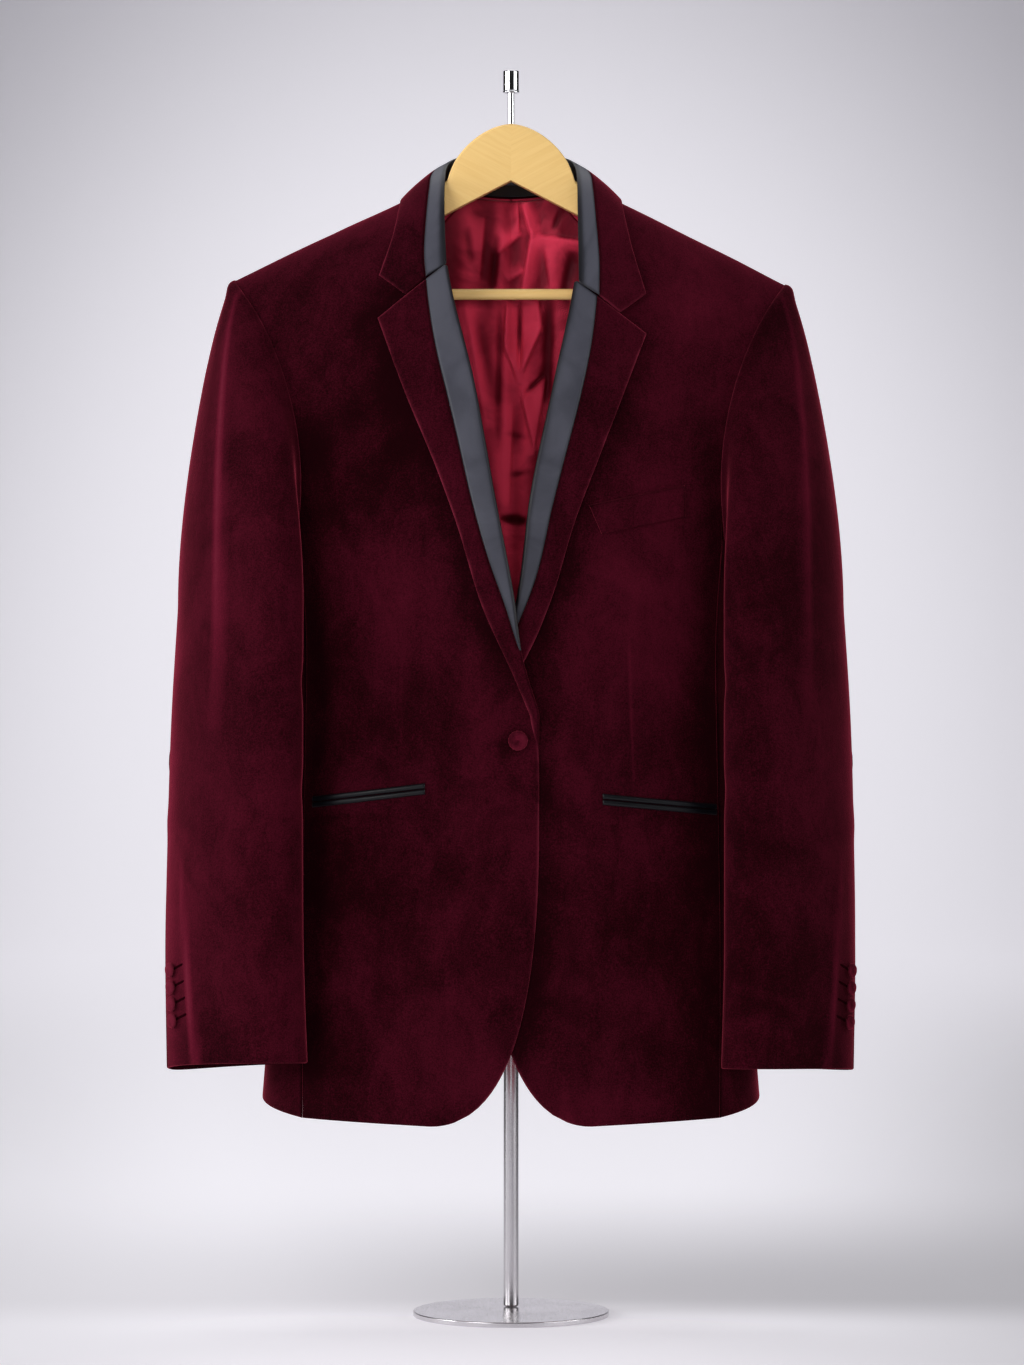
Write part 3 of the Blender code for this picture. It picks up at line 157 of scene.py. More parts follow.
# Lapels: outer edge by height, and the width of the satin strip along the roll line
LAPEL_BOTTOM = {-1: 0.5, 1: 0.536}
LAPEL_EDGE = {
    -1: {"z": (0.498, 0.527, 0.582, 0.654, 0.703, 0.751, 0.818),
         "x": (-0.015, -0.0032, 0.0216, 0.0445, 0.0626, 0.0827, 0.1075)},
    1: {"z": (0.532, 0.56, 0.59, 0.654, 0.703, 0.751, 0.805),
        "x": (0.006, 0.02, 0.032, 0.0515, 0.07, 0.0885, 0.109)},
}
GORGE = {-1: {"roll": (0.0515, 0.8625), "notch": (0.0861, 0.8398)},
         1: {"roll": (0.053, 0.849), "notch": (0.0957, 0.827)}}
SATIN_WIDTH = {"z": (0.548, 0.59, 0.63, 0.678, 0.727, 0.799, 0.862),
               "width": (0.0012, 0.009, 0.016, 0.021, 0.024, 0.0262, 0.0215)}
SATIN_SHARE_MOST = 0.9
SATIN_END_Z = 0.551
LAPEL_LIFT_LOW = 0.0028
LAPEL_LIFT_HIGH = 0.005
LAPEL_CROWN = 0.0012
LAPEL_FOOT = {-1: -0.12, 1: 0.0}
LAPEL_SINK_RUN = 0.14
ROLL_RADIUS = 0.0026
ROLL_TURN = 140.0

# Collar: one row for each station from the gorge round to the centre back
COLLAR_ROWS = (
    # fold, neck seam
    # satin edge, leaf edge
    ((0.0515, -0.048, 0.8648), (0.0545, -0.0448, 0.867),
     (0.0692, -0.05, 0.854), (0.1073, -0.0415, 0.856)),
    ((0.0528, -0.037, 0.888), (0.0553, -0.0335, 0.887),
     (0.0708, -0.041, 0.874), (0.099, -0.032, 0.881)),
    ((0.0535, -0.026, 0.914), (0.0562, -0.0215, 0.913),
     (0.0695, -0.029, 0.902), (0.0948, -0.024, 0.8975)),
    ((0.053, -0.011, 0.9345), (0.0572, -0.009, 0.93),
     (0.0675, -0.013, 0.927), (0.0922, -0.012, 0.9122)),
    ((0.0512, 0.004, 0.9475), (0.0575, 0.003, 0.935),
     (0.0655, 0.002, 0.941), (0.0905, 0.002, 0.92)),
    ((0.0465, 0.016, 0.9555), (0.051, 0.013, 0.934),
     (0.059, 0.017, 0.9485), (0.083, 0.018, 0.9195)),
    ((0.034, 0.028, 0.961), (0.036, 0.0255, 0.929),
     (0.044, 0.034, 0.953), (0.062, 0.033, 0.915)),
    ((0.018, 0.036, 0.9625), (0.0185, 0.0335, 0.9265),
     (0.023, 0.043, 0.954), (0.032, 0.044, 0.9105)),
    ((0.0, 0.0385, 0.963), (0.0, 0.0372, 0.9258),
     (0.0, 0.046, 0.9545), (0.0, 0.049, 0.9085)),
)
NOTCH_Y = -0.051
GORGE_GAP = 0.0004
COLLAR_CROWN = 0.002
FOLD_SOFTNESS = 0.3
GORGE_DROP = {-1: (0.0, 0.0, -0.0008), 1: (0.0025, -0.008, -0.0164)}
GORGE_DROP_SHARE = (1.0, 0.45)
LABEL = {"thickness": 0.001, "reach": 1 / 6, "top": 0.25, "bottom": 0.75}

# Pockets, by the corners of their openings on the front
HIP_POCKET = {-1: {"inner": (0.069, 0.4385), "outer": (0.1605, 0.4272)},
              1: {"inner": (0.0735, 0.43), "outer": (0.166, 0.421)}}
JET_WIDTH = 0.0044
STRIP_CLEAR = 0.0005
CHEST_WELT = {"inner": (0.0625, 0.6665), "outer": (0.14, 0.683),
              "inner_height": 0.023, "outer_height": 0.0255, "slant": 0.01}

# Buttons
FRONT_BUTTON = {"x": 0.0056, "z": 0.4775, "diameter": 0.016, "height": 0.0062}
CUFF_BUTTON = {"diameter": 0.012, "height": 0.0052, "count": 4,
               "lowest": 0.2475, "pitch": 0.0143, "inset": 0.078}
BUTTON_CLEAR = 0.0005

# Back lining: folds by their place at the neck and at the foot, width and depth
LINING_BOTTOM = 0.42
LINING_HALF_WIDTH = 0.135
LINING_CLEAR = 0.004
LINING_TOP_CLEAR = 0.001
LINING_CLEAR_RUN = 0.15
LINING_NECK_DROP = 0.002
LINING_TOP_REACH = 0.026
LINING_FOLDS = {
    "top": (-0.105, -0.07, -0.036, -0.008, 0.01, 0.034, 0.068, 0.104),
    "bottom": (-0.1, -0.062, -0.03, -0.004, 0.016, 0.04, 0.062, 0.1),
    "width": (0.016, 0.012, 0.009, 0.007, 0.007, 0.01, 0.012, 0.016),
    "depth": (0.006, 0.005, 0.007, 0.01, 0.009, 0.007, 0.006, 0.005),
}
LINING_EASE = {"foot": 0.9, "run": 0.75, "power": 0.5}

# Creases of the fronts, one column each: start, end, width and height; and patches of brushed pile with
# painted light and shade
FRONT_CREASES = {
    -1: {"x0": (0.088, 0.02, 0.06, 0.1, 0.03, 0.12), "z0": (0.575, 0.478, 0.48, 0.64, 0.38, 0.33),
         "x1": (0.089, 0.12, 0.14, 0.155, 0.08, 0.11), "z1": (0.44, 0.53, 0.545, 0.72, 0.23, 0.2),
         "width": (0.0016, 0.016, 0.014, 0.012, 0.02, 0.018),
         "height": (-0.001, 0.0016, -0.0014, -0.0018, 0.0016, -0.0014)},
    1: {"x0": (0.094, 0.02, 0.05, 0.105, 0.04, 0.125), "z0": (0.568, 0.47, 0.475, 0.64, 0.37, 0.34),
        "x1": (0.099, 0.115, 0.13, 0.158, 0.085, 0.115), "z1": (0.436, 0.52, 0.54, 0.725, 0.225, 0.205),
        "width": (0.0016, 0.015, 0.014, 0.012, 0.02, 0.018),
        "height": (-0.001, 0.0015, -0.0014, -0.0018, 0.0016, -0.0014)},
}
# Dark patches are painted shade, the strongest a painted shadow beside the front button; light ones brushed
# pile and painted light
FRONT_NAP_AND_PAINTED_LIGHT = {
    -1: {"x": (0.105, 0.057, 0.033, 0.018, 0.088, 0.049, 0.12, 0.025, 0.108, 0.004, 0.11),
         "z": (0.602, 0.582, 0.542, 0.474, 0.5, 0.31, 0.253, 0.205, 0.73, 0.472, 0.35),
         "reach_x": (0.032, 0.02, 0.018, 0.022, 0.01, 0.05, 0.03, 0.03, 0.06, 0.01, 0.045),
         "reach_z": (0.045, 0.04, 0.04, 0.05, 0.08, 0.05, 0.05, 0.03, 0.07, 0.01, 0.06),
         "light": (0.22, 0.18, 0.16, 0.28, 0.08, 0.14, 0.06, 0.12, -0.2, -0.4, -0.18)},
    1: {"x": (0.119, 0.039, 0.063, 0.103, 0.071, 0.15, 0.06, 0.14, 0.138, 0.08, 0.12),
        "z": (0.542, 0.454, 0.18, 0.622, 0.35, 0.4, 0.7, 0.29, 0.83, 0.55, 0.72),
        "reach_x": (0.035, 0.022, 0.04, 0.035, 0.05, 0.022, 0.03, 0.03, 0.07, 0.08, 0.05),
        "reach_z": (0.045, 0.05, 0.024, 0.035, 0.08, 0.08, 0.05, 0.06, 0.05, 0.09, 0.08),
        "light": (0.26, 0.14, 0.36, 0.12, -0.14, 0.06, 0.1, -0.08, 0.32, 0.1, 0.12)},
}
TROUGH_TAPER = 0.7
LEAN = {"slow": 3.0, "steep": 0.45}
SWAY = {"waves": 5, "slant": 0.7, "pitches": (0.6, 1.6), "upward": 0.35}
FRONT_WAVE = {"seed": 11, "height": 0.0009, "pitch": 0.11, "from": 0.02, "run": 0.05}
# Painted shade beside the lapel, the upper front and the sleeve; a lift of each front's tone; painted
# highlights at the shoulder seam and on the dart
LAPEL_SHADE = {"dark": -0.26, "width": 0.02, "top": 0.82, "run": 0.06, "foot_run": 0.08}
OVERLAP_SHADE = {"dark": -0.3, "width": 0.016, "top": 0.56, "run": 0.08}
SLEEVE_SHADE = {"dark": -0.28, "width": 0.024, "top": 0.7, "run": 0.06, "x": 0.166}
FRONT_BRUSH = {-1: 0.03, 1: 0.09}
SHOULDER_LIGHT = {"light": 0.5, "reach": 0.012}
DART_SHARES = (0.545, 0.645)
DART_LINE_WIDTH = 0.0011
DART_LIGHT = {-1: 0.1, 1: 0.4}

# Hanger
BEVEL_POINTS = 5
HANGER_THICKNESS = 0.014
HANGER_EDGE_ROUND = 0.003
HANGER_TIP_X = 0.207
CROWN_BLEND_X = 0.045
CROWN_END_X = 0.0525
SHOULDER_CLEAR = 0.0016
CROWN_TOP = 0.9816
CROWN_FOOT = 0.925
CROWN_HALF_WIDTH = 0.0545
CROWN_SQUARENESS = 1.75
NOTCH_PEAK = 0.935
NOTCH_END_X = 0.054
NOTCH_END_Z = 0.907
ARM_SLOPE = 0.45
BAR_HALF_LENGTH = 0.187
TIP_BOTTOM = 0.831
TIP_BOTTOM_RUN = 0.01
# The bar's wood is a lighter copy of the hanger's: painted light for the bar that sits in shade
BAR_LIGHT = 1.04
BAR_BEVEL = 0.001
SHANK_BEVEL = 0.0006


# Numbers and vectors


def curve(xs, ys, x):
    """Smooth values at x through the points of a table, with straight ends."""
    xs = np.asarray(xs, float)
    ys = np.asarray(ys, float)
    x = np.clip(x, xs[0], xs[-1])
    slopes = np.gradient(ys, xs)
    i = np.clip(np.searchsorted(xs, x, side="right") - 1, 0, len(xs) - 2)
    step = xs[i + 1] - xs[i]
    t = (x - xs[i]) / step
    low = (1 + 2 * t) * (1 - t) ** 2 * ys[i] + t * (1 - t) ** 2 * step * slopes[i]
    high = t * t * (3 - 2 * t) * ys[i + 1] + t * t * (t - 1) * step * slopes[i + 1]
    return low + high


def read(table, column, z):
    """Smooth values of one column of a table at these heights."""
    return curve(table["z"], table[column], z)


def unit(vectors):
    """Vectors at length one."""
    return vectors / np.maximum(np.linalg.norm(vectors, axis=-1, keepdims=True), 1e-12)


def stack(x, y, z):
    """Points from three arrays of like shape."""
    return np.stack(np.broadcast_arrays(x, y, z), axis=-1).astype(float)


def spaced(length, step):
    """Places from 0 to 1 along a length, closer together at both ends where the cloth rolls over."""
    near = np.array(RIM_STEPS) / length
    count = max(3, int(round((length - 2 * RIM_WIDTH) / step)))
    middle = np.linspace(RIM_WIDTH / length, 1 - RIM_WIDTH / length, count + 1)
    return np.concatenate([near, middle, (1 - near)[::-1]])


def smooth_step(value):
    """A soft ramp from 0 to 1."""
    value = np.clip(value, 0.0, 1.0)
    return value * value * (3 - 2 * value)


def mix(low, high, share):
    """What lies a share of the way from low to high."""
    return low + (high - low) * share


def bell(value):
    """A soft hump that is 1 at 0."""
    return np.exp(-value ** 2)


def grid_normals(grid, toward):
    """Normals of a grid from its own slopes, on the side of the given direction at its middle."""
    normals = unit(np.cross(np.gradient(grid, axis=1), np.gradient(grid, axis=0)))
    middle = normals[grid.shape[0] // 2, grid.shape[1] // 2]
    return normals if np.dot(middle, toward) > 0 else -normals


# Torso surface


def ridge(x, side):
    """Height of the shoulder line, carried on to the centre line above the neck."""
    slope = (NECK_Z - SHOULDER_Z[side]) / (SHOULDER_X - NECK_X)
    return NECK_Z + (NECK_X - x) * slope


def depth(x, z, side, face):
    """Distance of the front or back cloth from the hanger's plane at an outward width x."""
    half_width = read(TORSO_LEVELS, "half_width", z)
    reach = read(TORSO_LEVELS, FACES[face], z)
    inside = np.maximum(0.0, 1 - (np.abs(x) / half_width) ** TORSO_SQUARENESS)
    rise = np.clip((z - PIT_Z) / (ridge(np.abs(x), side) - PIT_Z), 0.0, 1.0)
    power = FRONT_ROUNDING if face < 0 else curve(BACK_ROUNDING["x"], BACK_ROUNDING["power"], np.abs(x))
    return reach * inside ** (1 / TORSO_SQUARENESS) * np.sqrt(1 - rise * rise) ** power


def torso_normal(x, z, side, face):
    """Outward normals of the front or back cloth."""
    step = 1e-4
    slope_x = (depth(x + step, z, side, face) - depth(x - step, z, side, face)) / (2 * step)
    slope_z = (depth(x, z + step, side, face) - depth(x, z - step, side, face)) / (2 * step)
    return unit(stack(-side * slope_x, face, -slope_z))


def torso_point(x, z, side, face):
    """Points of the front or back cloth."""
    return stack(side * x, face * depth(x, z, side, face), z)


def side_point(angle, z, side):
    """Points of the side of the body: negative angles run to the front, positive ones to the back."""
    half_width = read(TORSO_LEVELS, "half_width", z)
    front, back = (read(TORSO_LEVELS, face, z) for face in FACES.values())
    x = half_width * np.abs(np.cos(angle)) ** (2 / TORSO_SQUARENESS)
    reach = np.where(angle < 0, front, back) * np.abs(np.sin(angle)) ** (2 / TORSO_SQUARENESS)
    return stack(side * x, np.copysign(reach, angle), z)


def seam_angle(z, face):
    """Angle of a side-panel seam on the body's oval."""
    half_width = read(TORSO_LEVELS, "half_width", z)
    x = read(PANEL_SEAM, FACES[face], z)
    return face * np.arccos((x / half_width) ** (TORSO_SQUARENESS / 2))


def panel_angle(share, z):
    """Angle on the body's oval across the side panel, from -1 at its front seam to 1 at its back seam."""
    return np.abs(share) * np.where(share < 0, seam_angle(z, -1), seam_angle(z, 1))


def armhole_at(rise, side, face):
    """Outward width and height of the armhole on the rows with these rise angles."""
    z = np.full_like(rise, np.mean(ARMHOLE["z"]))
    for _ in range(12):
        x = read(ARMHOLE, FACES[face], z)
        z = mix(PIT_Z, ridge(x, side), np.sin(rise))
    return x, z


def lowest_rise(side):
    """Rise angle at which the side seams meet the armhole."""
    return math.asin((SIDE_SEAM_TOP - PIT_Z) / (ridge(ARMHOLE["front"][0], side) - PIT_Z))


def rise_at(turn, side):
    """Rise angle of the row of cloth that meets the armhole at this place."""
    share = np.minimum(turn, 1 - turn) / CAP_SHARE
    return mix(SHOULDER_SEAM_ANGLE, lowest_rise(side), share)


def side_top(share):
    """Height of the side panel's top, from -1 at its front seam to 1 at its back seam."""
    return mix(PIT_Z, SIDE_SEAM_TOP, share * share)


def armhole_point(turn, side):
    """Points of the armhole: 0 at the shoulder, 0.25 in front, 0.5 below."""
    turn = np.asarray(turn) % 1.0
    points = np.zeros(turn.shape + (3,))
    for face, on in ((-1, turn <= CAP_SHARE), (1, turn >= 1 - CAP_SHARE)):
        x, z = armhole_at(rise_at(turn[on], side), side, face)
        points[on] = torso_point(x, z, side, face)
    under = (turn > CAP_SHARE) & (turn < 1 - CAP_SHARE)
    share = (turn[under] - 0.5) / (0.5 - CAP_SHARE)
    z = side_top(share)
    points[under] = side_point(panel_angle(share, z), z, side)
    return points


# Sleeve surface


def sleeve_ring(turn, z, side):
    """Points of the sleeve's oval at height z."""
    twist = SLEEVE_UNDER_TWIST * (1 - np.cos(2 * math.pi * turn))
    angle = np.radians(SLEEVE_TOP_ANGLE + 360 * turn + twist)
    x, y, length, outside, inside, tilt = (
        read(SLEEVE_LEVELS, key, z) for key in ("x", "y", "length", "outside", "inside", "turn"))
    width = np.where(np.sin(angle) > 0, outside, inside)
    length = length * SLEEVE_LENGTH_FACTOR[side]
    lean = np.radians(tilt)
    along = length * np.cos(angle)
    across = width * np.sin(angle)
    out = x + SLEEVE_SHIFT[side] + along * np.cos(lean) + across * np.sin(lean)
    near = 1 - np.clip((z - SLEEVE_LEVELS["z"][0]) / CUFF_RISE_RUN, 0, 1)
    front = 0.5 + 0.5 * np.cos(2 * math.pi * (turn - CUFF_RISE_TURN))
    rise = CUFF_RISE[side] * near ** 2 * front
    return stack(side * out, y + along * np.sin(lean) - across * np.cos(lean), z + rise)


def sleeve_grid(turns, shares, side):
    """A grid of the sleeve's points, share 0 at the armhole and 1 at the cuff."""
    cuff, *_, top = SLEEVE_LEVELS["z"]
    start = armhole_point(turns, side)
    end = sleeve_ring(turns, np.full_like(turns, top), side)
    around = 2 * math.pi * turns
    out = CAP_LEAN["out"] + CAP_LEAN["out_top"] * np.cos(around)
    near = start + CAP_REACH * stack(side * out, -CAP_LEAN["front"] * np.sin(around), -CAP_LEAN["down"])
    drop = np.maximum(CAP_FALL_LEAST, CAP_FALL * (start[:, 2] - end[:, 2]))
    far = end + stack(0.0, 0.0, drop)
    t = np.clip(shares / CAP_SHARE, 0, 1)[:, None, None]
    cap = (1 - t) ** 3 * start + 3 * t * (1 - t) ** 2 * near + 3 * t * t * (1 - t) * far + t ** 3 * end
    fall = np.clip((shares - CAP_SHARE) / (1 - CAP_SHARE), 0, 1)[:, None]
    arm = sleeve_ring(turns[None, :], mix(top, cuff, fall), side)
    return np.where(t < 1, cap, arm)


# Fronts, and what lies on them


def front_edge(z, side):
    """Outward width of a front's free edge: cutaway, straight edge, then the line under the roll."""
    share = np.clip((z - FRONT_HEM_Z) / (CUTAWAY_TOP - FRONT_HEM_Z), 0.0, 1.0)
    low = -FRONT_OVERLAP + CUTAWAY_WIDTH * (1 - np.sqrt(share)) ** 2
    trim = ROLL_TRIM * np.clip((z - BREAK_Z) / ROLL_TRIM_RUN, 0.0, 1.0)
    return np.where(z < BREAK_Z, low, read(ROLL_LINE, side, z) + trim)


def front_relief(x, z, side):
    """Height of a front's dart, drag lines and slow waves."""
    waves = sway(x, z, FRONT_WAVE, side) * smooth_step((x - FRONT_WAVE["from"]) / FRONT_WAVE["run"])
    return (troughs(x, z, FRONT_CREASES[side]) + waves) * bpy.context.scene.jacket_cloth.crease


def front_point(x, z, side, lift=0.0):
    """Points of a front, with the overlap of the upper front, moved out along the cloth's normal by lift."""
    share = smooth_step((OVERLAP_END_X - x) / OVERLAP_RUN)
    over = read(OVERLAP, "lift", z) * share * (side < 0)
    rise = np.asarray(over + lift + front_relief(x, z, side))[..., None]
    return torso_point(x, z, side, -1) + rise * torso_normal(x, z, side, -1)


def lapel_row(side, level):
    """Roll-line and outer points of a lapel's rows, by width and height, with lengths and satin shares."""
    edge = LAPEL_EDGE[side]
    roll_z = mix(LAPEL_BOTTOM[side], GORGE[side]["roll"][1], level)
    edge_z = mix(edge["z"][0], edge["z"][-1], level)
    roll = np.stack([read(ROLL_LINE, side, roll_z), roll_z], axis=-1)
    outer = np.stack([read(edge, "x", edge_z), edge_z], axis=-1)
    length = np.linalg.norm(outer - roll, axis=-1)
    satin = np.minimum(SATIN_SHARE_MOST, read(SATIN_WIDTH, "width", roll_z) / length)
    return roll, outer, length, satin


def lapel_points(side, level, share):
    """Points and normals of a lapel's upper face, at levels and shares of its width of like shape."""
    roll, outer, *_ = lapel_row(side, level)
    spot = mix(roll, outer, share[..., None])
    rest = mix(LAPEL_LIFT_LOW, LAPEL_LIFT_HIGH, level)
    lift = rest + LAPEL_CROWN * np.sin(math.pi * share) * level
    x, z = spot[..., 0], spot[..., 1]
    return front_point(x, z, side, lift), torso_normal(x, z, side, -1)


# Collar


def collar_stations(places):
    """Fold, neck, satin-edge, leaf and middle points at places from -1, left gorge, to 1, right gorge."""
    last = len(COLLAR_ROWS) - 1
    middles = np.array([np.mean(row[2:], axis=0) for row in COLLAR_ROWS])
    middles[:, 2] += COLLAR_CROWN
    middles[0] = (GORGE[-1]["notch"][0], NOTCH_Y, GORGE[-1]["notch"][1] + GORGE_GAP)
    rows = []
    for place in places:
        side = -1 if place < 0 else 1
        table = np.concatenate([COLLAR_ROWS, middles[:, None]], axis=1)
        for row, share in enumerate(GORGE_DROP_SHARE):
            table[row] += share * np.array(GORGE_DROP[side])
        spot = (1 - abs(place)) * last
        points = np.array([[curve(range(last + 1), table[:, column, axis], spot) for axis in range(3)]
                           for column in range(5)])
        points[:, 0] *= side
        rows.append(points)
    return np.array(rows)


# Meshes


def make_object(name, points, faces, materials, indices=None, attributes=None, layout=None, moved=True):
    """A smooth mesh object from points and a list of arrays of faces, with its place in the mesh."""
    points = np.array(points, float).reshape(-1, 3)
    if moved:
        points[:, 1] += HANGER_Y
    corners = np.concatenate([np.asarray(block).ravel() for block in faces]).astype(np.int32)
    sizes = np.concatenate([np.full(len(block), np.shape(block)[1]) for block in faces])
    mesh = bpy.data.meshes.new(name)
    mesh.vertices.add(len(points))
    mesh.vertices.foreach_set("co", points.ravel())
    mesh.loops.add(len(corners))
    mesh.loops.foreach_set("vertex_index", corners)
    mesh.polygons.add(len(sizes))
    starts = np.concatenate([[0], np.cumsum(sizes)[:-1]]).astype(np.int32)
    mesh.polygons.foreach_set("loop_start", starts)
    mesh.polygons.foreach_set("use_smooth", np.ones(len(sizes), bool))
    if indices is not None:
        mesh.polygons.foreach_set("material_index", np.asarray(indices, np.int32))
    for key, values in (attributes or {}).items():
        made = mesh.attributes.new(key, "FLOAT", "POINT")
        made.data.foreach_set("value", np.asarray(values, float).ravel())
    mesh.update(calc_edges=True)
    if layout is not None:
        flat = np.asarray(layout, float).reshape(-1, 2)[corners]
        mesh.uv_layers.new(name="UVMap").data.foreach_set("uv", flat.ravel())
    mesh.validate()
    for material in materials:
        mesh.materials.append(material)
    thing = bpy.data.objects.new(name, mesh)
    bpy.context.scene.collection.objects.link(thing)
    return thing


def grid_quads(rows, columns):
    """Faces of a grid of points."""
    corner = np.arange(rows * columns).reshape(rows, columns)
    faces = np.stack([corner[:-1, :-1], corner[:-1, 1:], corner[1:, 1:], corner[1:, :-1]], axis=-1)
    return faces.reshape(-1, 4)


def edge_distances(points):
    """Distance of each grid point from the first row, last row, first column and last column."""
    along = np.linalg.norm(np.diff(points, axis=0), axis=-1)
    across = np.linalg.norm(np.diff(points, axis=1), axis=-1)
    from_first = np.concatenate([np.zeros_like(points[:1, :, 0]), np.cumsum(along, axis=0)])
    from_left = np.concatenate([np.zeros_like(points[:, :1, 0]), np.cumsum(across, axis=1)], axis=1)
    return from_first, from_first[-1:] - from_first, from_left, from_left[:, -1:] - from_left


def cloth(name, points, normals, thickness, materials, edges, relief, nap):
    """A closed sheet of cloth whose rims are named by edges: first row, last row, first and last column.

    A seam rim sinks into a groove and gets painted shade, a joined rim sinks and gets a painted highlight,
    a free rim rolls over and gets a painted highlight, a worn rim the same but fainter, a hem rolls over
    without a mark, and a flat rim is left as it is.
    """
    distances = edge_distances(points)
    drop = np.zeros(points.shape[:2])
    light = np.zeros(points.shape[:2])
    dark = np.zeros(points.shape[:2])
    for kind, distance in zip(edges, distances):
        if kind == "flat":
            continue
        radius = SEAM_ROUND if kind in ("seam", "joined") else EDGE_ROUND
        radius = min(radius, RIM_SHARE_MOST * thickness)
        inside = radius - np.minimum(distance, radius)
        drop = np.maximum(drop, radius - np.sqrt(radius * radius - inside * inside))
        # Painted shade in seam grooves, painted highlights along the other marked rims
        if kind == "seam":
            dark = np.maximum(dark, bell(distance / SEAM_DARK_WIDTH))
        elif kind in EDGE_LIGHT:
            light = np.maximum(light, EDGE_LIGHT[kind] * bell(distance / EDGE_LIGHT_WIDTH))
    relief = np.zeros_like(drop) + relief
    outer = points + (relief - drop)[..., None] * normals
    inner = points + (relief - thickness)[..., None] * normals
    rows, columns = points.shape[:2]
    count = rows * columns
    corner = np.arange(count).reshape(rows, columns)
    front = grid_quads(rows, columns)
    back = front[:, ::-1] + count
    rim = np.concatenate([corner[0, :-1], corner[:-1, -1], corner[-1, :0:-1], corner[:0:-1, 0]])
    after = np.roll(rim, -1)
    side = np.stack([after, rim, rim + count, after + count], axis=-1)
    quads = np.concatenate([front, back, side])
    row, column = rows // 2, columns // 2
    middle = points[row, column]
    facing = np.cross(points[row, column + 1] - middle, points[row + 1, column] - middle)
    if np.dot(facing, normals[row, column]) < 0:
        quads = quads[:, ::-1]
    indices = np.repeat((0, len(materials) - 1, 0), (len(front), len(back), len(side)))
    layout = np.stack([distances[2], distances[0]], axis=-1)
    # Stored for the shader: the painted highlights, the painted shade, and a tone of brushed pile with
    # painted light and shade on velvet, of painted fold light and shade on satin
    marks = {"edge_light": light, "seam_dark": dark, "nap": np.zeros_like(light) + nap}
    attributes = {key: np.stack([values, values]) for key, values in marks.items()}
    thing = make_object(name, np.stack([outer, inner]), [quads], materials, indices, attributes,
                        np.stack([layout, layout]))
    thing["flat_width"] = float(distances[2][:, -1].max())
    thing["flat_length"] = float(distances[0][-1].max())
    ahead = np.cross(points[1:, 1:] - points[:-1, :-1], points[1:, :-1] - points[:-1, 1:])
    thing["flat_area"] = float(0.5 * np.linalg.norm(ahead, axis=-1).sum())
    return thing


def dress(thing, nodes):
    """Rides a piece on the frame in place of its nodes."""
    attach(thing, "root")
    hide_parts(*nodes)


def round_angles(around):
    """Angles of the points of a ring."""
    return 2 * math.pi * np.arange(around) / around


def ring_quads(rings, around):
    """Faces between successive closed rings of points."""
    corner = np.arange(rings * around).reshape(rings, around)
    after = np.roll(corner, -1, axis=1)
    return np.stack([corner[:-1], after[:-1], after[1:], corner[1:]], axis=-1).reshape(-1, 4)


def closed_rings(rings, around):
    """Faces between closed rings and two more points, which close the first ring and the last."""
    here = np.arange(around)
    after = np.roll(here, -1)
    last = (rings - 1) * around
    foot = np.stack([np.full(around, rings * around), after, here], axis=-1)
    head = np.stack([np.full(around, rings * around + 1), last + here, last + after], axis=-1)
    return [ring_quads(rings, around), foot, head]


def turned(name, profile, material, centre, axis="Z", around=64):
    """A turned piece from radius and height pairs along an axis, closed at both ends."""
    profile = np.array(profile, float)
    angle = round_angles(around)
    radius, height = profile[:, :1], profile[:, 1:]
    rings = stack(radius * np.cos(angle), radius * np.sin(angle), height + 0 * angle)
    ends = np.array(((0.0, 0.0, profile[0, 1]), (0.0, 0.0, profile[-1, 1])))
    points = np.concatenate([rings.reshape(-1, 3), ends])
    if axis == "X":
        points = points[:, (2, 0, 1)]
    faces = closed_rings(len(profile), around)
    return make_object(name, points + np.array(centre), faces, [material], moved=False)


def rounded(radius, low, high, bevel):
    """Radius and height pairs of a rod with rounded ends; close rings keep its walls and ends straight."""
    angles = np.linspace(0, math.pi / 2, BEVEL_POINTS)
    foot = [(radius - bevel + bevel * math.sin(a), low + bevel - bevel * math.cos(a)) for a in angles]
    head = [(radius - bevel + bevel * math.cos(a), high - bevel + bevel * math.sin(a)) for a in angles]
    close = 1.3 * bevel
    wall = [(radius, low + close), (radius, high - close)]
    return [(radius - close, low)] + foot + wall + head + [(radius - close, high)]


def along_line(x, z, x0, z0, x1, z1):
    """Share of the way along a line on a panel, and the distance to one side of it."""
    run = np.array((x1 - x0, z1 - z0))
    length = np.linalg.norm(run)
    along = np.clip(((x - x0) * run[0] + (z - z0) * run[1]) / length ** 2, 0, 1)
    return along, ((z - z0) * run[0] - (x - x0) * run[1]) / length


def troughs(x, z, table, leans=None, taper=TROUGH_TAPER):
    """Raised or sunken soft lines on a panel, from a table of starts, ends, widths and heights.

    One that leans to a side falls slowly on that side and steeply on the other.
    """
    total = np.zeros(np.broadcast(x, z).shape)
    for (*ends, width, height), lean in zip(zip(*table.values()), leans or (0,) * len(table["width"])):
        along, off = along_line(x, z, *ends)
        reach = width * np.where(off * lean > 0, LEAN["slow"], LEAN["steep"] if lean else 1.0)
        total += height * bell(off / reach) * np.sin(math.pi * along) ** taper
    return total


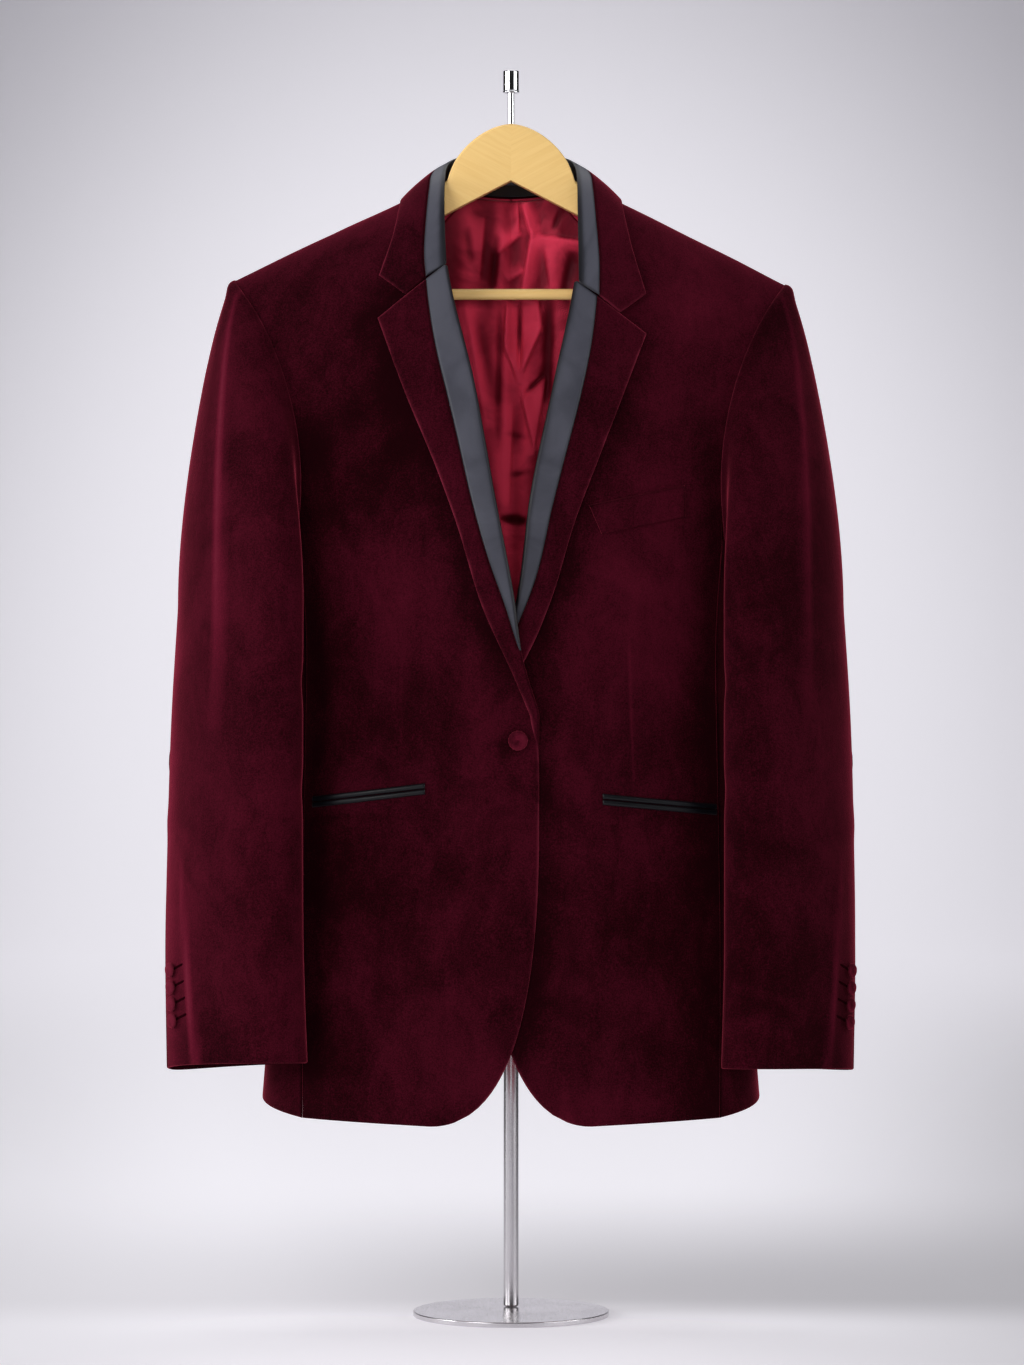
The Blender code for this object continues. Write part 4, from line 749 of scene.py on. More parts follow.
def sway(x, z, table, side):
    """Slow uneven waves of the cloth, of a table's height and pitch."""
    rng = np.random.default_rng(table["seed"] + side)
    total = np.zeros(np.broadcast(x, z).shape)
    for _ in range(SWAY["waves"]):
        angle = rng.uniform(-SWAY["slant"], SWAY["slant"])
        wave = table["pitch"] * rng.uniform(*SWAY["pitches"])
        run = x * math.cos(angle) + SWAY["upward"] * z * math.sin(angle)
        total += np.sin(2 * math.pi * run / wave + rng.uniform(0, 6.28))
    return table["height"] * total / SWAY["waves"]


# Finishes


ORIGIN = (0.0, 0.0, 0.0)
# Colour of the painted shade in seam grooves
SEAM_DARK = (0.004, 0.0003, 0.001)


def add(tree, kind, inputs=None, **settings):
    """A node with its settings, its plain input values and its incoming links."""
    node = tree.nodes.new(kind)
    for key, value in settings.items():
        setattr(node, key, value)
    for key, value in (inputs or {}).items():
        if isinstance(value, bpy.types.NodeSocket):
            tree.links.new(value, node.inputs[key])
        else:
            node.inputs[key].default_value = value
    return node


def out(tree, kind, inputs=None, **settings):
    """The first output of a new node."""
    return add(tree, kind, inputs, **settings).outputs[0]


def feed(tree, inputs, sockets):
    """Links sockets to inputs by their names."""
    for key, socket in sockets.items():
        tree.links.new(socket, inputs[key])


def math_node(tree, operation, first, second=0.0, clamp=False):
    """The result of a sum of two values or sockets."""
    inputs = {0: first, 1: second}
    return out(tree, "ShaderNodeMath", inputs, operation=operation, use_clamp=clamp)


def plus(tree, first, second, clamp=False):
    """Two values or sockets added."""
    return math_node(tree, "ADD", first, second, clamp)


def times(tree, first, second, clamp=False):
    """Two values or sockets multiplied."""
    return math_node(tree, "MULTIPLY", first, second, clamp)


def mixed(tree, factor, first, second):
    """The colour between two colours or sockets."""
    inputs = {0: factor, 6: first, 7: second}
    return add(tree, "ShaderNodeMix", inputs, data_type="RGBA").outputs[2]


def noise(tree, vector, scale, detail, roughness, distortion=0.0):
    """A noise value between 0 and 1."""
    inputs = {"Vector": vector, "Scale": scale, "Detail": detail, "Roughness": roughness,
              "Distortion": distortion}
    return out(tree, "ShaderNodeTexNoise", inputs)


def ranged(tree, value, low, high, new_low=0.0, new_high=1.0):
    """A value spread from one range to another, with soft ends."""
    inputs = {"Value": value, 1: low, 2: high, 3: new_low, 4: new_high}
    return out(tree, "ShaderNodeMapRange", inputs, interpolation_type="SMOOTHSTEP")


def stretched(tree, vector, scale):
    """Places stretched by a scale for each axis."""
    return out(tree, "ShaderNodeMapping", {"Vector": vector, "Scale": scale})


def object_place(tree):
    """Places on an object, in its own metres."""
    return add(tree, "ShaderNodeTexCoord").outputs["Object"]


def mark(tree, name):
    """A value that is stored on the points of a mesh."""
    return add(tree, "ShaderNodeAttribute", attribute_name=name).outputs["Fac"]


def solid(colour, shares=(1.0, 1.0, 1.0)):
    """A full colour from red, green and blue, each taken by its share."""
    return (*(value * share for value, share in zip(colour, shares)), 1.0)


def new_group(name, inputs, outputs):
    """A shader node group with inputs by their plain values and outputs that are values, and its two ends."""
    group = bpy.data.node_groups.new(name, "ShaderNodeTree")
    for socket, value in inputs.items():
        kind = "NodeSocketFloat" if isinstance(value, float) else "NodeSocketVector"
        made = group.interface.new_socket(socket, in_out="INPUT", socket_type=kind)
        made.default_value = value
    for socket in outputs:
        group.interface.new_socket(socket, in_out="OUTPUT", socket_type="NodeSocketFloat")
    return group, group.nodes.new("NodeGroupInput").outputs, group.nodes.new("NodeGroupOutput").inputs


def place_group(tree, name, maker, inputs):
    """The outputs of a node that holds a shared group, which is made the first time it is asked for."""
    group = bpy.data.node_groups.get(name) or maker(name)
    return add(tree, "ShaderNodeGroup", inputs, node_tree=group).outputs


def nap_group(name):
    """Velvet's brushed pile: cloudy patches, short streaks and fine grain."""
    inputs = {"Vector": ORIGIN, "Patch Scale": 9.0, "Streak Scale": 42.0, "Grain Scale": 900.0}
    group, given, result = new_group(name, inputs, ("Patch", "Grain", "Height"))
    squeezed = stretched(group, given["Vector"], (1.0, 1.0, 0.55))
    patch = noise(group, given["Vector"], given["Patch Scale"], 3.0, 0.6, 0.8)
    streak = noise(group, squeezed, given["Streak Scale"], 6.0, 0.74, 0.7)
    grain = noise(group, given["Vector"], given["Grain Scale"], 3.0, 0.7)
    clouds = plus(group, times(group, patch, 0.55), times(group, streak, 0.45))
    height = plus(group, times(group, streak, 0.6), times(group, grain, 0.4))
    feed(group, result, {"Patch": ranged(group, clouds, 0.36, 0.66), "Grain": grain, "Height": height})
    return group


def twill_group(name):
    """Fine slanted ribs of a satin or twill, on a layout in metres."""
    inputs = {"Vector": ORIGIN, "Rib Pitch": 0.0009, "Slant": 0.9}
    group, given, result = new_group(name, inputs, ("Rib", "Cloud", "Height"))
    parts = add(group, "ShaderNodeSeparateXYZ", {0: given["Vector"]}).outputs
    slanted = plus(group, parts[0], times(group, parts[1], given["Slant"]))
    turns = math_node(group, "DIVIDE", slanted, given["Rib Pitch"])
    rib = math_node(group, "SINE", times(group, turns, 2 * math.pi))
    cloud = noise(group, given["Vector"], 26.0, 4.0, 0.55, 0.6)
    height = plus(group, times(group, rib, 0.12), cloud)
    feed(group, result, {"Rib": ranged(group, rib, -1.0, 1.0), "Cloud": cloud, "Height": height})
    return group


def grain_group(name):
    """Straight wood grain with soft bands and pores, running along X."""
    inputs = {"Vector": ORIGIN, "Band Scale": 320.0}
    group, given, result = new_group(name, inputs, ("Band", "Pore", "Height"))
    long_way = stretched(group, given["Vector"], (0.05, 1.0, 1.0))
    fine_way = stretched(group, given["Vector"], (0.02, 1.0, 1.0))
    band = noise(group, long_way, given["Band Scale"], 3.0, 0.55, 0.5)
    pore = noise(group, fine_way, 1500.0, 2.0, 0.6)
    height = math_node(group, "SUBTRACT", band, times(group, pore, 0.35))
    feed(group, result, {"Band": ranged(group, band, 0.3, 0.72), "Pore": ranged(group, pore, 0.58, 0.74),
                         "Height": height})
    return group


def brush_group(name):
    """Fine brushing along Z, with a few deeper scratches."""
    inputs = {"Vector": ORIGIN, "Scale": (1.0, 1.0, 0.01)}
    group, given, result = new_group(name, inputs, ("Scratch", "Smudge"))
    drawn = stretched(group, given["Vector"], given["Scale"])
    feed(group, result, {"Scratch": noise(group, drawn, 2600.0, 3.0, 0.7),
                         "Smudge": noise(group, given["Vector"], 22.0, 4.0, 0.6, 0.4)})
    return group


def new_material(name, **values):
    """A material with a Principled shader whose plain values are set on its own sockets."""
    material = bpy.data.materials.new(name)
    material.use_nodes = True
    shader = material.node_tree.nodes["Principled BSDF"]
    for key, value in values.items():
        shader.inputs[key.replace("_", " ")].default_value = value
    return material, material.node_tree, shader


def kept(name, maker, *values):
    """A material by name, made the first time it is asked for."""
    return bpy.data.materials.get(name) or maker(name, *values)


def bump(tree, shader, height, distance, strength):
    """Feeds a height to the shader's normal."""
    node = add(tree, "ShaderNodeBump", {"Height": height, "Distance": distance, "Strength": strength})
    tree.links.new(node.outputs[0], shader.inputs["Normal"])


def velvet_material(name, settings):
    """Burgundy velvet: brushed patches, painted shade in the seams, painted highlights along rolled edges and
    where the stored painted light runs highest.
    """
    material, tree, shader = new_material(
        name, Roughness=0.95, Specular_IOR_Level=0.02, Sheen_Weight=0.75, Sheen_Roughness=0.36,
        Sheen_Tint=solid(settings.sheen_colour))
    nap = place_group(tree, "velvet_nap", nap_group, {"Vector": object_place(tree)})
    factor = times(tree, nap["Patch"], 0.4)
    factor = plus(tree, factor, ranged(tree, nap["Grain"], 0.25, 0.75, -0.26, 0.29))
    # The stored tone: brushed pile, with painted shade beside the lapels, arms and overlap, and painted
    # highlights on ridges, dart and shoulders
    factor = plus(tree, factor, mark(tree, "nap"))
    # Colour of the painted highlights
    rim = solid(settings.velvet_highlight)
    colour = mixed(tree, factor, solid(settings.velvet_deep), solid(settings.velvet_lit))
    # Painted highlight where the tone runs past its lightest
    pressed_pile_highlight = math_node(tree, "SUBTRACT", factor, 1.0, clamp=True)
    colour = mixed(tree, pressed_pile_highlight, colour, rim)
    # Painted highlight along rolled rims, broken up by the patches
    rolled = times(tree, mark(tree, "edge_light"), ranged(tree, nap["Patch"], 0.15, 0.85, 0.12, 1.0))
    colour = mixed(tree, rolled, colour, rim)
    # Painted shade in the seam grooves
    seam_shade = times(tree, mark(tree, "seam_dark"), 0.6)
    colour = mixed(tree, seam_shade, colour, solid(SEAM_DARK))
    tree.links.new(colour, shader.inputs["Base Color"])
    bump(tree, shader, nap["Height"], 0.0011, 0.55)
    return material


def satin_material(name, colour, lit, roughness, pitch, rise, gloss=0.45, tint=(1.0, 1.0, 1.0)):
    """A woven satin with fine slanted ribs and slow changes of tone, painted highlights on its fold ridges
    and painted shade in its fold hollows and seams.
    """
    material, tree, shader = new_material(name, Specular_IOR_Level=gloss, Anisotropic=0.35,
                                          Specular_Tint=solid(tint))
    layout = out(tree, "ShaderNodeUVMap", uv_map="UVMap")
    twill = place_group(tree, "satin_twill", twill_group, {"Vector": layout, "Rib Pitch": pitch})
    # Stored painted light of the folds: above zero a painted highlight, below zero painted shade
    fold = mark(tree, "nap")
    factor = plus(tree, ranged(tree, twill["Cloud"], 0.3, 0.7, 0.0, 0.5), times(tree, twill["Rib"], 0.3))
    factor = plus(tree, factor, fold, clamp=True)
    tone = mixed(tree, factor, solid(colour), solid(lit))
    # Painted shade in the hollows and the seams, a darker copy of the colour
    hollow = times(tree, fold, -1.0, clamp=True)
    seam = times(tree, mark(tree, "seam_dark"), 0.85)
    hollow = math_node(tree, "MAXIMUM", hollow, seam)
    tone = mixed(tree, hollow, tone, solid(colour, (0.14, 0.1, 0.12)))
    rough = ranged(tree, twill["Cloud"], 0.3, 0.7, roughness - 0.05, roughness + 0.07)
    feed(tree, shader.inputs, {"Base Color": tone, "Roughness": rough})
    bump(tree, shader, twill["Height"], rise, 0.5)
    return material


def wood_material(name, slope, colour):
    """Pale varnished wood with its grain at a slope across the face."""
    material, tree, shader = new_material(
        name, Specular_IOR_Level=0.45, Coat_Weight=0.25, Coat_Roughness=0.22)
    sloped = {"Vector": object_place(tree), "Rotation": (0.0, slope, 0.0)}
    turned_way = out(tree, "ShaderNodeMapping", sloped)
    grain = place_group(tree, "wood_grain", grain_group, {"Vector": turned_way})
    tone = mixed(tree, grain["Band"], solid(colour), solid(colour, (0.955, 0.92, 0.86)))
    tone = mixed(tree, times(tree, grain["Pore"], 0.12), tone, solid(colour, (0.55, 0.42, 0.28)))
    rough = ranged(tree, grain["Band"], 0.0, 1.0, 0.34, 0.46)
    feed(tree, shader.inputs, {"Base Color": tone, "Roughness": rough})
    bump(tree, shader, grain["Height"], 0.0002, 0.4)
    return material


def metal_material(name, colour, roughness, vary, scale):
    """Bare metal with brushing and faint smudges."""
    material, tree, shader = new_material(name, Metallic=1.0)
    inputs = {"Vector": object_place(tree), "Scale": scale}
    brushing = place_group(tree, "metal_brushing", brush_group, inputs)
    tone = mixed(tree, brushing["Scratch"], solid(colour), solid(colour, (0.82, 0.82, 0.83)))
    worn = plus(tree, times(tree, brushing["Scratch"], 0.6), times(tree, brushing["Smudge"], 0.4))
    rough = ranged(tree, worn, 0.3, 0.7, roughness - vary, roughness + vary)
    feed(tree, shader.inputs, {"Base Color": tone, "Roughness": rough})
    bump(tree, shader, brushing["Scratch"], 0.00004, 0.3)
    return material


# Settings that a user would change


def shade(name, description, default):
    """A colour that a user can change."""
    return FloatVectorProperty(
        name=name, description=description, subtype="COLOR", default=default, min=0, max=1)


def amount(name, description, default, **limits):
    """A number that a user can change, from zero up unless its limits say otherwise."""
    return FloatProperty(name=name, description=description, default=default, **{"min": 0.0, **limits})


class JacketClothSettings(bpy.types.PropertyGroup):
    """Colours and depth of the cloth."""
    # The velvet runs between its shade and light colours by brushed pile and by painted light and shade; its
    # rim colour is a painted highlight
    velvet_deep: shade("Velvet shade", "Velvet brushed away from the light", (0.0085, 0.0005, 0.0015))
    velvet_lit: shade("Velvet light", "Velvet brushed towards the light", (0.078, 0.0047, 0.0137))
    velvet_highlight: shade("Velvet rim", "Velvet along rolled edges", (0.125, 0.0125, 0.0265))
    sheen_colour: shade("Sheen", "Colour of the pile's sheen", (0.62, 0.06, 0.11))
    # The satins' light colours also take the painted highlights of their folds
    satin: shade("Satin", "Black satin of the lapels, collar and pockets", (0.026, 0.0267, 0.0365))
    satin_lit: shade("Satin light", "Lighter tone of the black satin", (0.075, 0.0762, 0.097))
    lining: shade("Lining", "Crimson satin lining", (0.16, 0.0061, 0.016))
    lining_lit: shade("Lining light", "Lighter tone of the lining", (0.77, 0.0465, 0.1))
    crease: amount("Creases", "Depth of the cloth's creases, as a share of the worn depth", 1.0,
                   subtype="FACTOR", max=2.0)


class JacketStandSettings(bpy.types.PropertyGroup):
    """Colours of the hanger and the stand."""
    wood: shade("Wood", "Varnished wood of the hanger", (0.955, 0.645, 0.242))
    steel: shade("Steel", "Brushed steel of the pole and the base", (0.63, 0.61, 0.625))
    chrome: shade("Chrome", "Polished shank, rod and socket", (0.78, 0.78, 0.8))
    grain_slope: amount("Grain slope", "Slope of the wood grain in the hanger's halves", math.radians(27),
                        subtype="ANGLE", max=math.radians(60))


class JacketStageSettings(bpy.types.PropertyGroup):
    """The studio."""
    floor: shade("Floor", "Pale floor and backdrop", (0.805, 0.79, 0.83))
    key_power: amount("Key light", "Power of each front light", 50.0, unit="POWER")
    top_power: amount("Top light", "Power of the overhead light", 30.0, unit="POWER")
    air: amount("Air", "Strength of the even light all round", 0.3)
    # The paper's glow is painted light
    wall_glow: amount("Wall glow", "Glow of the paper's wall all round", 0.04)
    middle_glow: amount("Middle glow", "Added glow behind the jacket", 0.65)
    camera_distance: amount("Camera distance", "From the camera to the hanger's plane", 4.007,
                            unit="LENGTH", min=1.0)
    camera_height: amount("Camera height", "Height of the level camera", 0.524, unit="LENGTH")


def velvet(context):
    """The jacket's velvet."""
    return kept("burgundy_velvet", velvet_material, context.scene.jacket_cloth)


def black_satin(context):
    """The satin of the lapels, collar and pockets."""
    settings = context.scene.jacket_cloth
    return kept("black_satin", satin_material, settings.satin, settings.satin_lit, 0.44, 0.001, 0.00022,
                0.34)


def crimson_lining(context):
    """The satin of the lining."""
    settings = context.scene.jacket_cloth
    return kept("crimson_lining", satin_material, settings.lining, settings.lining_lit, 0.36, 0.0007, 0.0003,
                0.3, (1.0, 0.28, 0.36))


def label_band(context):
    """The duller satin of the neck label."""
    settings = context.scene.jacket_cloth
    return kept("label_band", satin_material, settings.satin, settings.satin_lit, 0.62, 0.0006, 0.0003)


def pocket_satin(context):
    """The darker satin of the pocket jets."""
    dark = [0.08 * value for value in context.scene.jacket_cloth.satin]
    lit = [3 * value for value in dark]
    return kept("pocket_satin", satin_material, dark, lit, 0.36, 0.001, 0.00015, 0.22)


def thread_material(name, colour):
    """Dull thread."""
    return new_material(name, Base_Color=solid(colour), Roughness=1.0, Specular_IOR_Level=0.0)[0]


def buttonhole_thread(context):
    """The dark thread of the worked buttonholes."""
    deep = [1.5 * value for value in context.scene.jacket_cloth.velvet_deep]
    return kept("buttonhole_thread", thread_material, deep)


def chrome(context):
    """The polished metal of the shank, the rod and the socket."""
    colour = context.scene.jacket_stand.chrome
    return kept("polished_chrome", metal_material, colour, 0.1, 0.03, (1.0, 1.0, 0.05))


# Body


# Ending of a piece's name, slot, thickness and finishes of each kind of cloth
CLOTHS = {
    "lined": ("_velvet", "velvet", VELVET, (velvet, crimson_lining)),
    "velvet": ("_velvet", "velvet", VELVET, (velvet,)),
    "strip": ("_strip", "satin", SATIN, (black_satin,)),
    "jet": ("_satin", "satin", SATIN, (pocket_satin,)),
    "label": ("_band", "label", LABEL["thickness"], (label_band,)),
    "lining": ("_satin", "lining", LINING, (crimson_lining,)),
}
# Length and step of each sheet's rows, then of its columns
SHEET_GRID = {
    "front": ((0.78, 0.0062), (0.21, 0.0048)),
    "back": ((0.74, 0.0075), (0.2, 0.006)),
    "side": ((0.46, 0.0075), (0.11, 0.005)),
    "sleeve": ((0.66, 0.0068), (0.16, 0.0042)),
    "lapel": ((0.36, 0.0042), (0.07, 0.0032)),
    "collar": ((0.42, 0.004), (0.05, 0.003)),
    "collar_satin": ((0.42, 0.004), (0.06, 0.002)),
}
BACK_WAVE = {"seed": 31, "height": 0.0012, "pitch": 0.1, "from": 0.01, "run": 0.04}
SIDE_WAVE = {"seed": 41, "height": 0.0008, "pitch": 0.09}
PANEL_TRIM = 0.996
DART_COLUMNS = 18


def sew(context, kind, node, points, normals, edges, relief=0.0, nap=0.0):
    """Makes a sheet of one kind of cloth in place of a node."""
    ending, slot, thickness, finishes = CLOTHS[kind]
    materials = [finish(context) for finish in finishes]
    sheet = cloth(node + ending, points, normals, thickness, materials, edges, relief, nap)
    dress(sheet, [node])


def grid_places(piece):
    """Places of a sheet's rows and of its columns, from 0 to 1."""
    return [spaced(*run) for run in SHEET_GRID[piece]]


def brushed(x, z, table):
    """Lighter and darker patches, one soft oval for each column of a table: brushed pile, painted light and
    painted shade.
    """
    total = np.zeros(np.broadcast(x, z).shape)
    for spot_x, spot_z, wide, tall, light in zip(*table.values()):
        total += light * np.exp(-((x - spot_x) / wide) ** 2 - ((z - spot_z) / tall) ** 2)
    return total


def front_rows(side, rows):
    """Inner and outer ends of the rows of a front, in outward width and height."""
    low_share = (SIDE_SEAM_TOP - FRONT_HEM_Z) / (NECK_Z - FRONT_HEM_Z)
    level = np.clip(rows / low_share, 0, 1)
    inner_z = mix(FRONT_HEM_Z, SIDE_SEAM_TOP, level)
    outer_z = mix(SIDE_HEM_Z, SIDE_SEAM_TOP, level)
    outer_x = read(PANEL_SEAM, "front", outer_z)
    turn = CAP_SHARE * (1 - np.clip((rows - low_share) / (1 - low_share), 0, 1))
    rise = rise_at(turn, side)
    high_x, high_z = armhole_at(rise, side, -1)
    high_inner = np.array(high_z)
    for _ in range(16):
        high_inner = mix(PIT_Z, ridge(front_edge(high_inner, side), side), np.sin(rise))
    upper = rows > low_share
    outer_x = np.where(upper, high_x, outer_x)
    outer_z = np.where(upper, high_z, outer_z)
    inner_z = np.where(upper, high_inner, inner_z)
    tuck = smooth_step((rows - low_share) / TUCK_RUN["foot"]) * smooth_step((1 - rows) / TUCK_RUN["top"])
    return front_edge(inner_z, side), inner_z, outer_x - SEAM_GAP / 2 + ARMHOLE_TUCK * tuck, outer_z


def dart_line(x, z, side):
    """A thin line along the dart, which is the first of the front's creases."""
    first = {key: FRONT_CREASES[side][key][:1] for key in ("x0", "z0", "x1", "z1")}
    return troughs(x, z, {**first, "width": (DART_LINE_WIDTH,), "height": (1.0,)})


def shaded(distance, table, z):
    """The dark of a shade table by the distance from what throws it, fading out at its top."""
    dark = table["dark"] * bell(distance / table["width"])
    return dark * (1 - smooth_step((z - table["top"]) / table["run"]))


def front_shade(x, z, side):
    """Painted shade beside the lapel, under the arm and, on the under front, beside the upper front; and a
    painted highlight along the dart.
    """
    lapel = np.maximum(0.0, x - read(LAPEL_EDGE[side], "x", z))
    total = shaded(lapel, LAPEL_SHADE, z) * smooth_step((z - BREAK_Z) / LAPEL_SHADE["foot_run"])
    total = total + shaded(np.maximum(0.0, SLEEVE_SHADE["x"] - x), SLEEVE_SHADE, z)
    total = total + DART_LIGHT[side] * dart_line(x, z, side)
    if side > 0:
        edge = -front_edge(np.minimum(z, BREAK_Z), -1)
        total = total + shaded(np.maximum(0.0, x - edge), OVERLAP_SHADE, z)
    return total


def front_nap_and_painted_light(x, z, side):
    """A front's tone: brushed pile with painted light and shade, a lift by side, and painted light towards
    the shoulder seam.
    """
    shoulder = SHOULDER_LIGHT["light"] * np.exp((z - ridge(x, side)) / SHOULDER_LIGHT["reach"])
    return brushed(x, z, FRONT_NAP_AND_PAINTED_LIGHT[side]) + front_shade(x, z, side) + FRONT_BRUSH[side] + shoulder


def front_sheet(context, side):
    """One front, hem to shoulder, with its dart, drag lines and brushed patches."""
    rows, columns = grid_places("front")
    columns = np.sort(np.concatenate([columns, np.linspace(*DART_SHARES, DART_COLUMNS)]))
    inner_x, inner_z, outer_x, outer_z = (value[:, None] for value in front_rows(side, rows))
    x = mix(inner_x, outer_x, columns)
    z = mix(inner_z, outer_z, columns)
    sew(context, "lined", "front_" + SIDES[side], front_point(x, z, side), torso_normal(x, z, side, -1),
        ("hem", "joined", "free", "seam"), nap=front_nap_and_painted_light(x, z, side))


def back_neck(x):
    """Height of the back neck seam."""
    return mix(BACK_NECK_Z, NECK_Z, (np.minimum(x, NECK_X) / NECK_X) ** 2)


def back_sheet(context, side):
    """One back: the centre edge opens into the vent below, the top is the neck seam and the shoulder seam."""
    low_share = (SIDE_SEAM_TOP - BACK_HEM_Z) / (NECK_Z - BACK_HEM_Z)
    rows, columns = grid_places("back")
    rows = rows[:, None]
    low = lowest_rise(side)
    level = np.clip(rows / low_share, 0, 1)
    low_z = mix(BACK_HEM_Z, SIDE_SEAM_TOP, level)
    vent = VENT_HALF_GAP * np.maximum(0.0, (VENT_TOP - low_z) / (VENT_TOP - BACK_HEM_Z))
    climb = np.clip((rows - low_share) / (1 - low_share), 0, 1)
    high_x, _ = armhole_at(mix(low, SHOULDER_SEAM_ANGLE, climb), side, 1)
    outer_x = np.where(rows > low_share, high_x, read(PANEL_SEAM, "back", low_z))
    inner_x = SEAM_GAP / 2 + np.where(rows > low_share, 0.0, vent)
    x = mix(inner_x, outer_x - SEAM_GAP / 2, columns)
    climb_x = ridge(x, side) - PIT_Z
    reach = np.clip((back_neck(x) - PIT_Z) / climb_x, 0, math.sin(SHOULDER_SEAM_ANGLE))
    top = np.where(x < NECK_X, np.arcsin(reach), SHOULDER_SEAM_ANGLE)
    high_z = PIT_Z + climb_x * np.sin(mix(low, np.minimum(top, SHOULDER_SEAM_ANGLE), climb))
    z = np.where(rows > low_share, high_z, low_z + 0 * x)
    relief = sway(x, z, BACK_WAVE, side) * smooth_step((x - BACK_WAVE["from"]) / BACK_WAVE["run"])
    sew(context, "lined", "back_" + SIDES[side], torso_point(x, z, side, 1), torso_normal(x, z, side, 1),
        ("hem", "joined", "seam", "seam"),
        relief * context.scene.jacket_cloth.crease)


def side_sheet(context, side):
    """One side panel, from the hem up to the bottom of the armhole."""
    rows, columns = grid_places("side")
    share = 2 * columns - 1
    hem = mix(SIDE_HEM_Z, BACK_HEM_Z, columns)
    z = mix(hem, side_top(share), rows[:, None])
    points = side_point(panel_angle(share, z) * PANEL_TRIM, z, side)
    relief = sway(points[..., 1], z, SIDE_WAVE, side) * context.scene.jacket_cloth.crease
    sew(context, "lined", "side_" + SIDES[side], points, grid_normals(points, (side, 0.0, 0.0)),
        ("hem", "seam", "seam", "seam"), relief)


class JACKET_OT_body(bpy.types.Operator):
    """Makes the fronts, the side panels and the backs"""
    bl_idname = "jacket.body"
    bl_label = "Body panels"

    def execute(self, context):
        for side in SIDES:
            front_sheet(context, side)
            side_sheet(context, side)
            back_sheet(context, side)
        return {"FINISHED"}


# Sleeves


SLEEVE_CREASES = {
    "x0": (0.1, 0.3, 0.02, 0.22, 0.06, -0.06, 0.28, 0.1),
    "z0": (0.7, 0.6, 0.55, 0.5, 0.45, 0.42, 0.36, 0.3),
    "x1": (0.26, 0.14, 0.2, 0.34, 0.22, 0.1, 0.12, 0.26),
    "z1": (0.6, 0.52, 0.49, 0.43, 0.4, 0.36, 0.31, 0.25),
    "width": (0.012, 0.01, 0.012, 0.009, 0.012, 0.01, 0.01, 0.009),
    "height": (-0.0016, 0.0014, -0.0014, 0.0013, -0.0013, 0.0011, -0.0011, 0.001),
}
SLEEVE_CALM = {"cap": 0.15, "from": 0.78, "run": 0.12, "share": 0.8}
SLEEVE_WAVE = {"seed": 53, "height": 0.001, "pitch": 0.09}
SLEEVE_RIDGES = {
    "x0": (0.027, 0.0005, 0.02), "z0": (0.88, 0.39, 0.34),
    "x1": (0.0305, 0.0125, 0.024), "z1": (0.48, 0.1, 0.13),
    "width": (0.005, 0.004, 0.008), "height": (0.0013, 0.0012, -0.0008),
}
# Painted highlights along the crests of the first two ridges, as pressed pile catching light, and faint
# painted shade in the third
RIDGE_LIGHT = {"width": (0.003, 0.0026, 0.007), "height": (1.3, 1.25, -0.1)}
CAP_ROLL = {"height": 0.0024, "share": 0.035, "width": 0.026, "turn": 0.13}
SLEEVE_TURN_LENGTH = 0.33
# Patches of brushed pile and painted light; the last a painted sheen down the left sleeve's outer side
SLEEVE_NAP_AND_PAINTED_LIGHT = {
    "x": (0.02, 0.02, 0.05, 0.1, 0.06, -0.022),
    "z": (0.82, 0.44, 0.715, 0.5, 0.66, 0.52),
    "reach_x": (0.05, 0.04, 0.016, 0.016, 0.02, 0.014),
    "reach_z": (0.05, 0.12, 0.055, 0.4, 0.1, 0.4),
    "light": (0.04, 0.22, 0.1, 0.1, 0.06, 0.7),
}
# Painted light over each whole sleeve, lighter on the left and darker on the right; and each sleeve's share
# of the patches
SLEEVE_PAINTED_SIDE_LIGHT = {-1: 0.07, 1: -0.02}
SLEEVE_TONE_SHARE = {-1: 1.0, 1: 0.55}
SLEEVE_SPANS = {"top_sleeve_": (HIND_SEAM - 1, FORE_SEAM, ("free", "hem", "seam", "flat")),
                "under_sleeve_": (FORE_SEAM, HIND_SEAM, ("seam", "hem", "flat", "seam"))}


def sleeve_relief(along, z, turns, shares, side):
    """Height of a sleeve's creases, waves and ridges, and of the roll at the top of its cap."""
    creases = troughs(along, z, SLEEVE_CREASES) + sway(along, z, SLEEVE_WAVE, side)
    calm = 1 - SLEEVE_CALM["share"] * smooth_step((shares - SLEEVE_CALM["from"]) / SLEEVE_CALM["run"])
    calm = smooth_step(shares / SLEEVE_CALM["cap"]) * calm
    roll = bell((shares - CAP_ROLL["share"]) / CAP_ROLL["width"])[:, None]
    roll = CAP_ROLL["height"] * roll * bell(turns / CAP_ROLL["turn"])
    return creases * calm[:, None] + troughs(along, z, SLEEVE_RIDGES) + roll


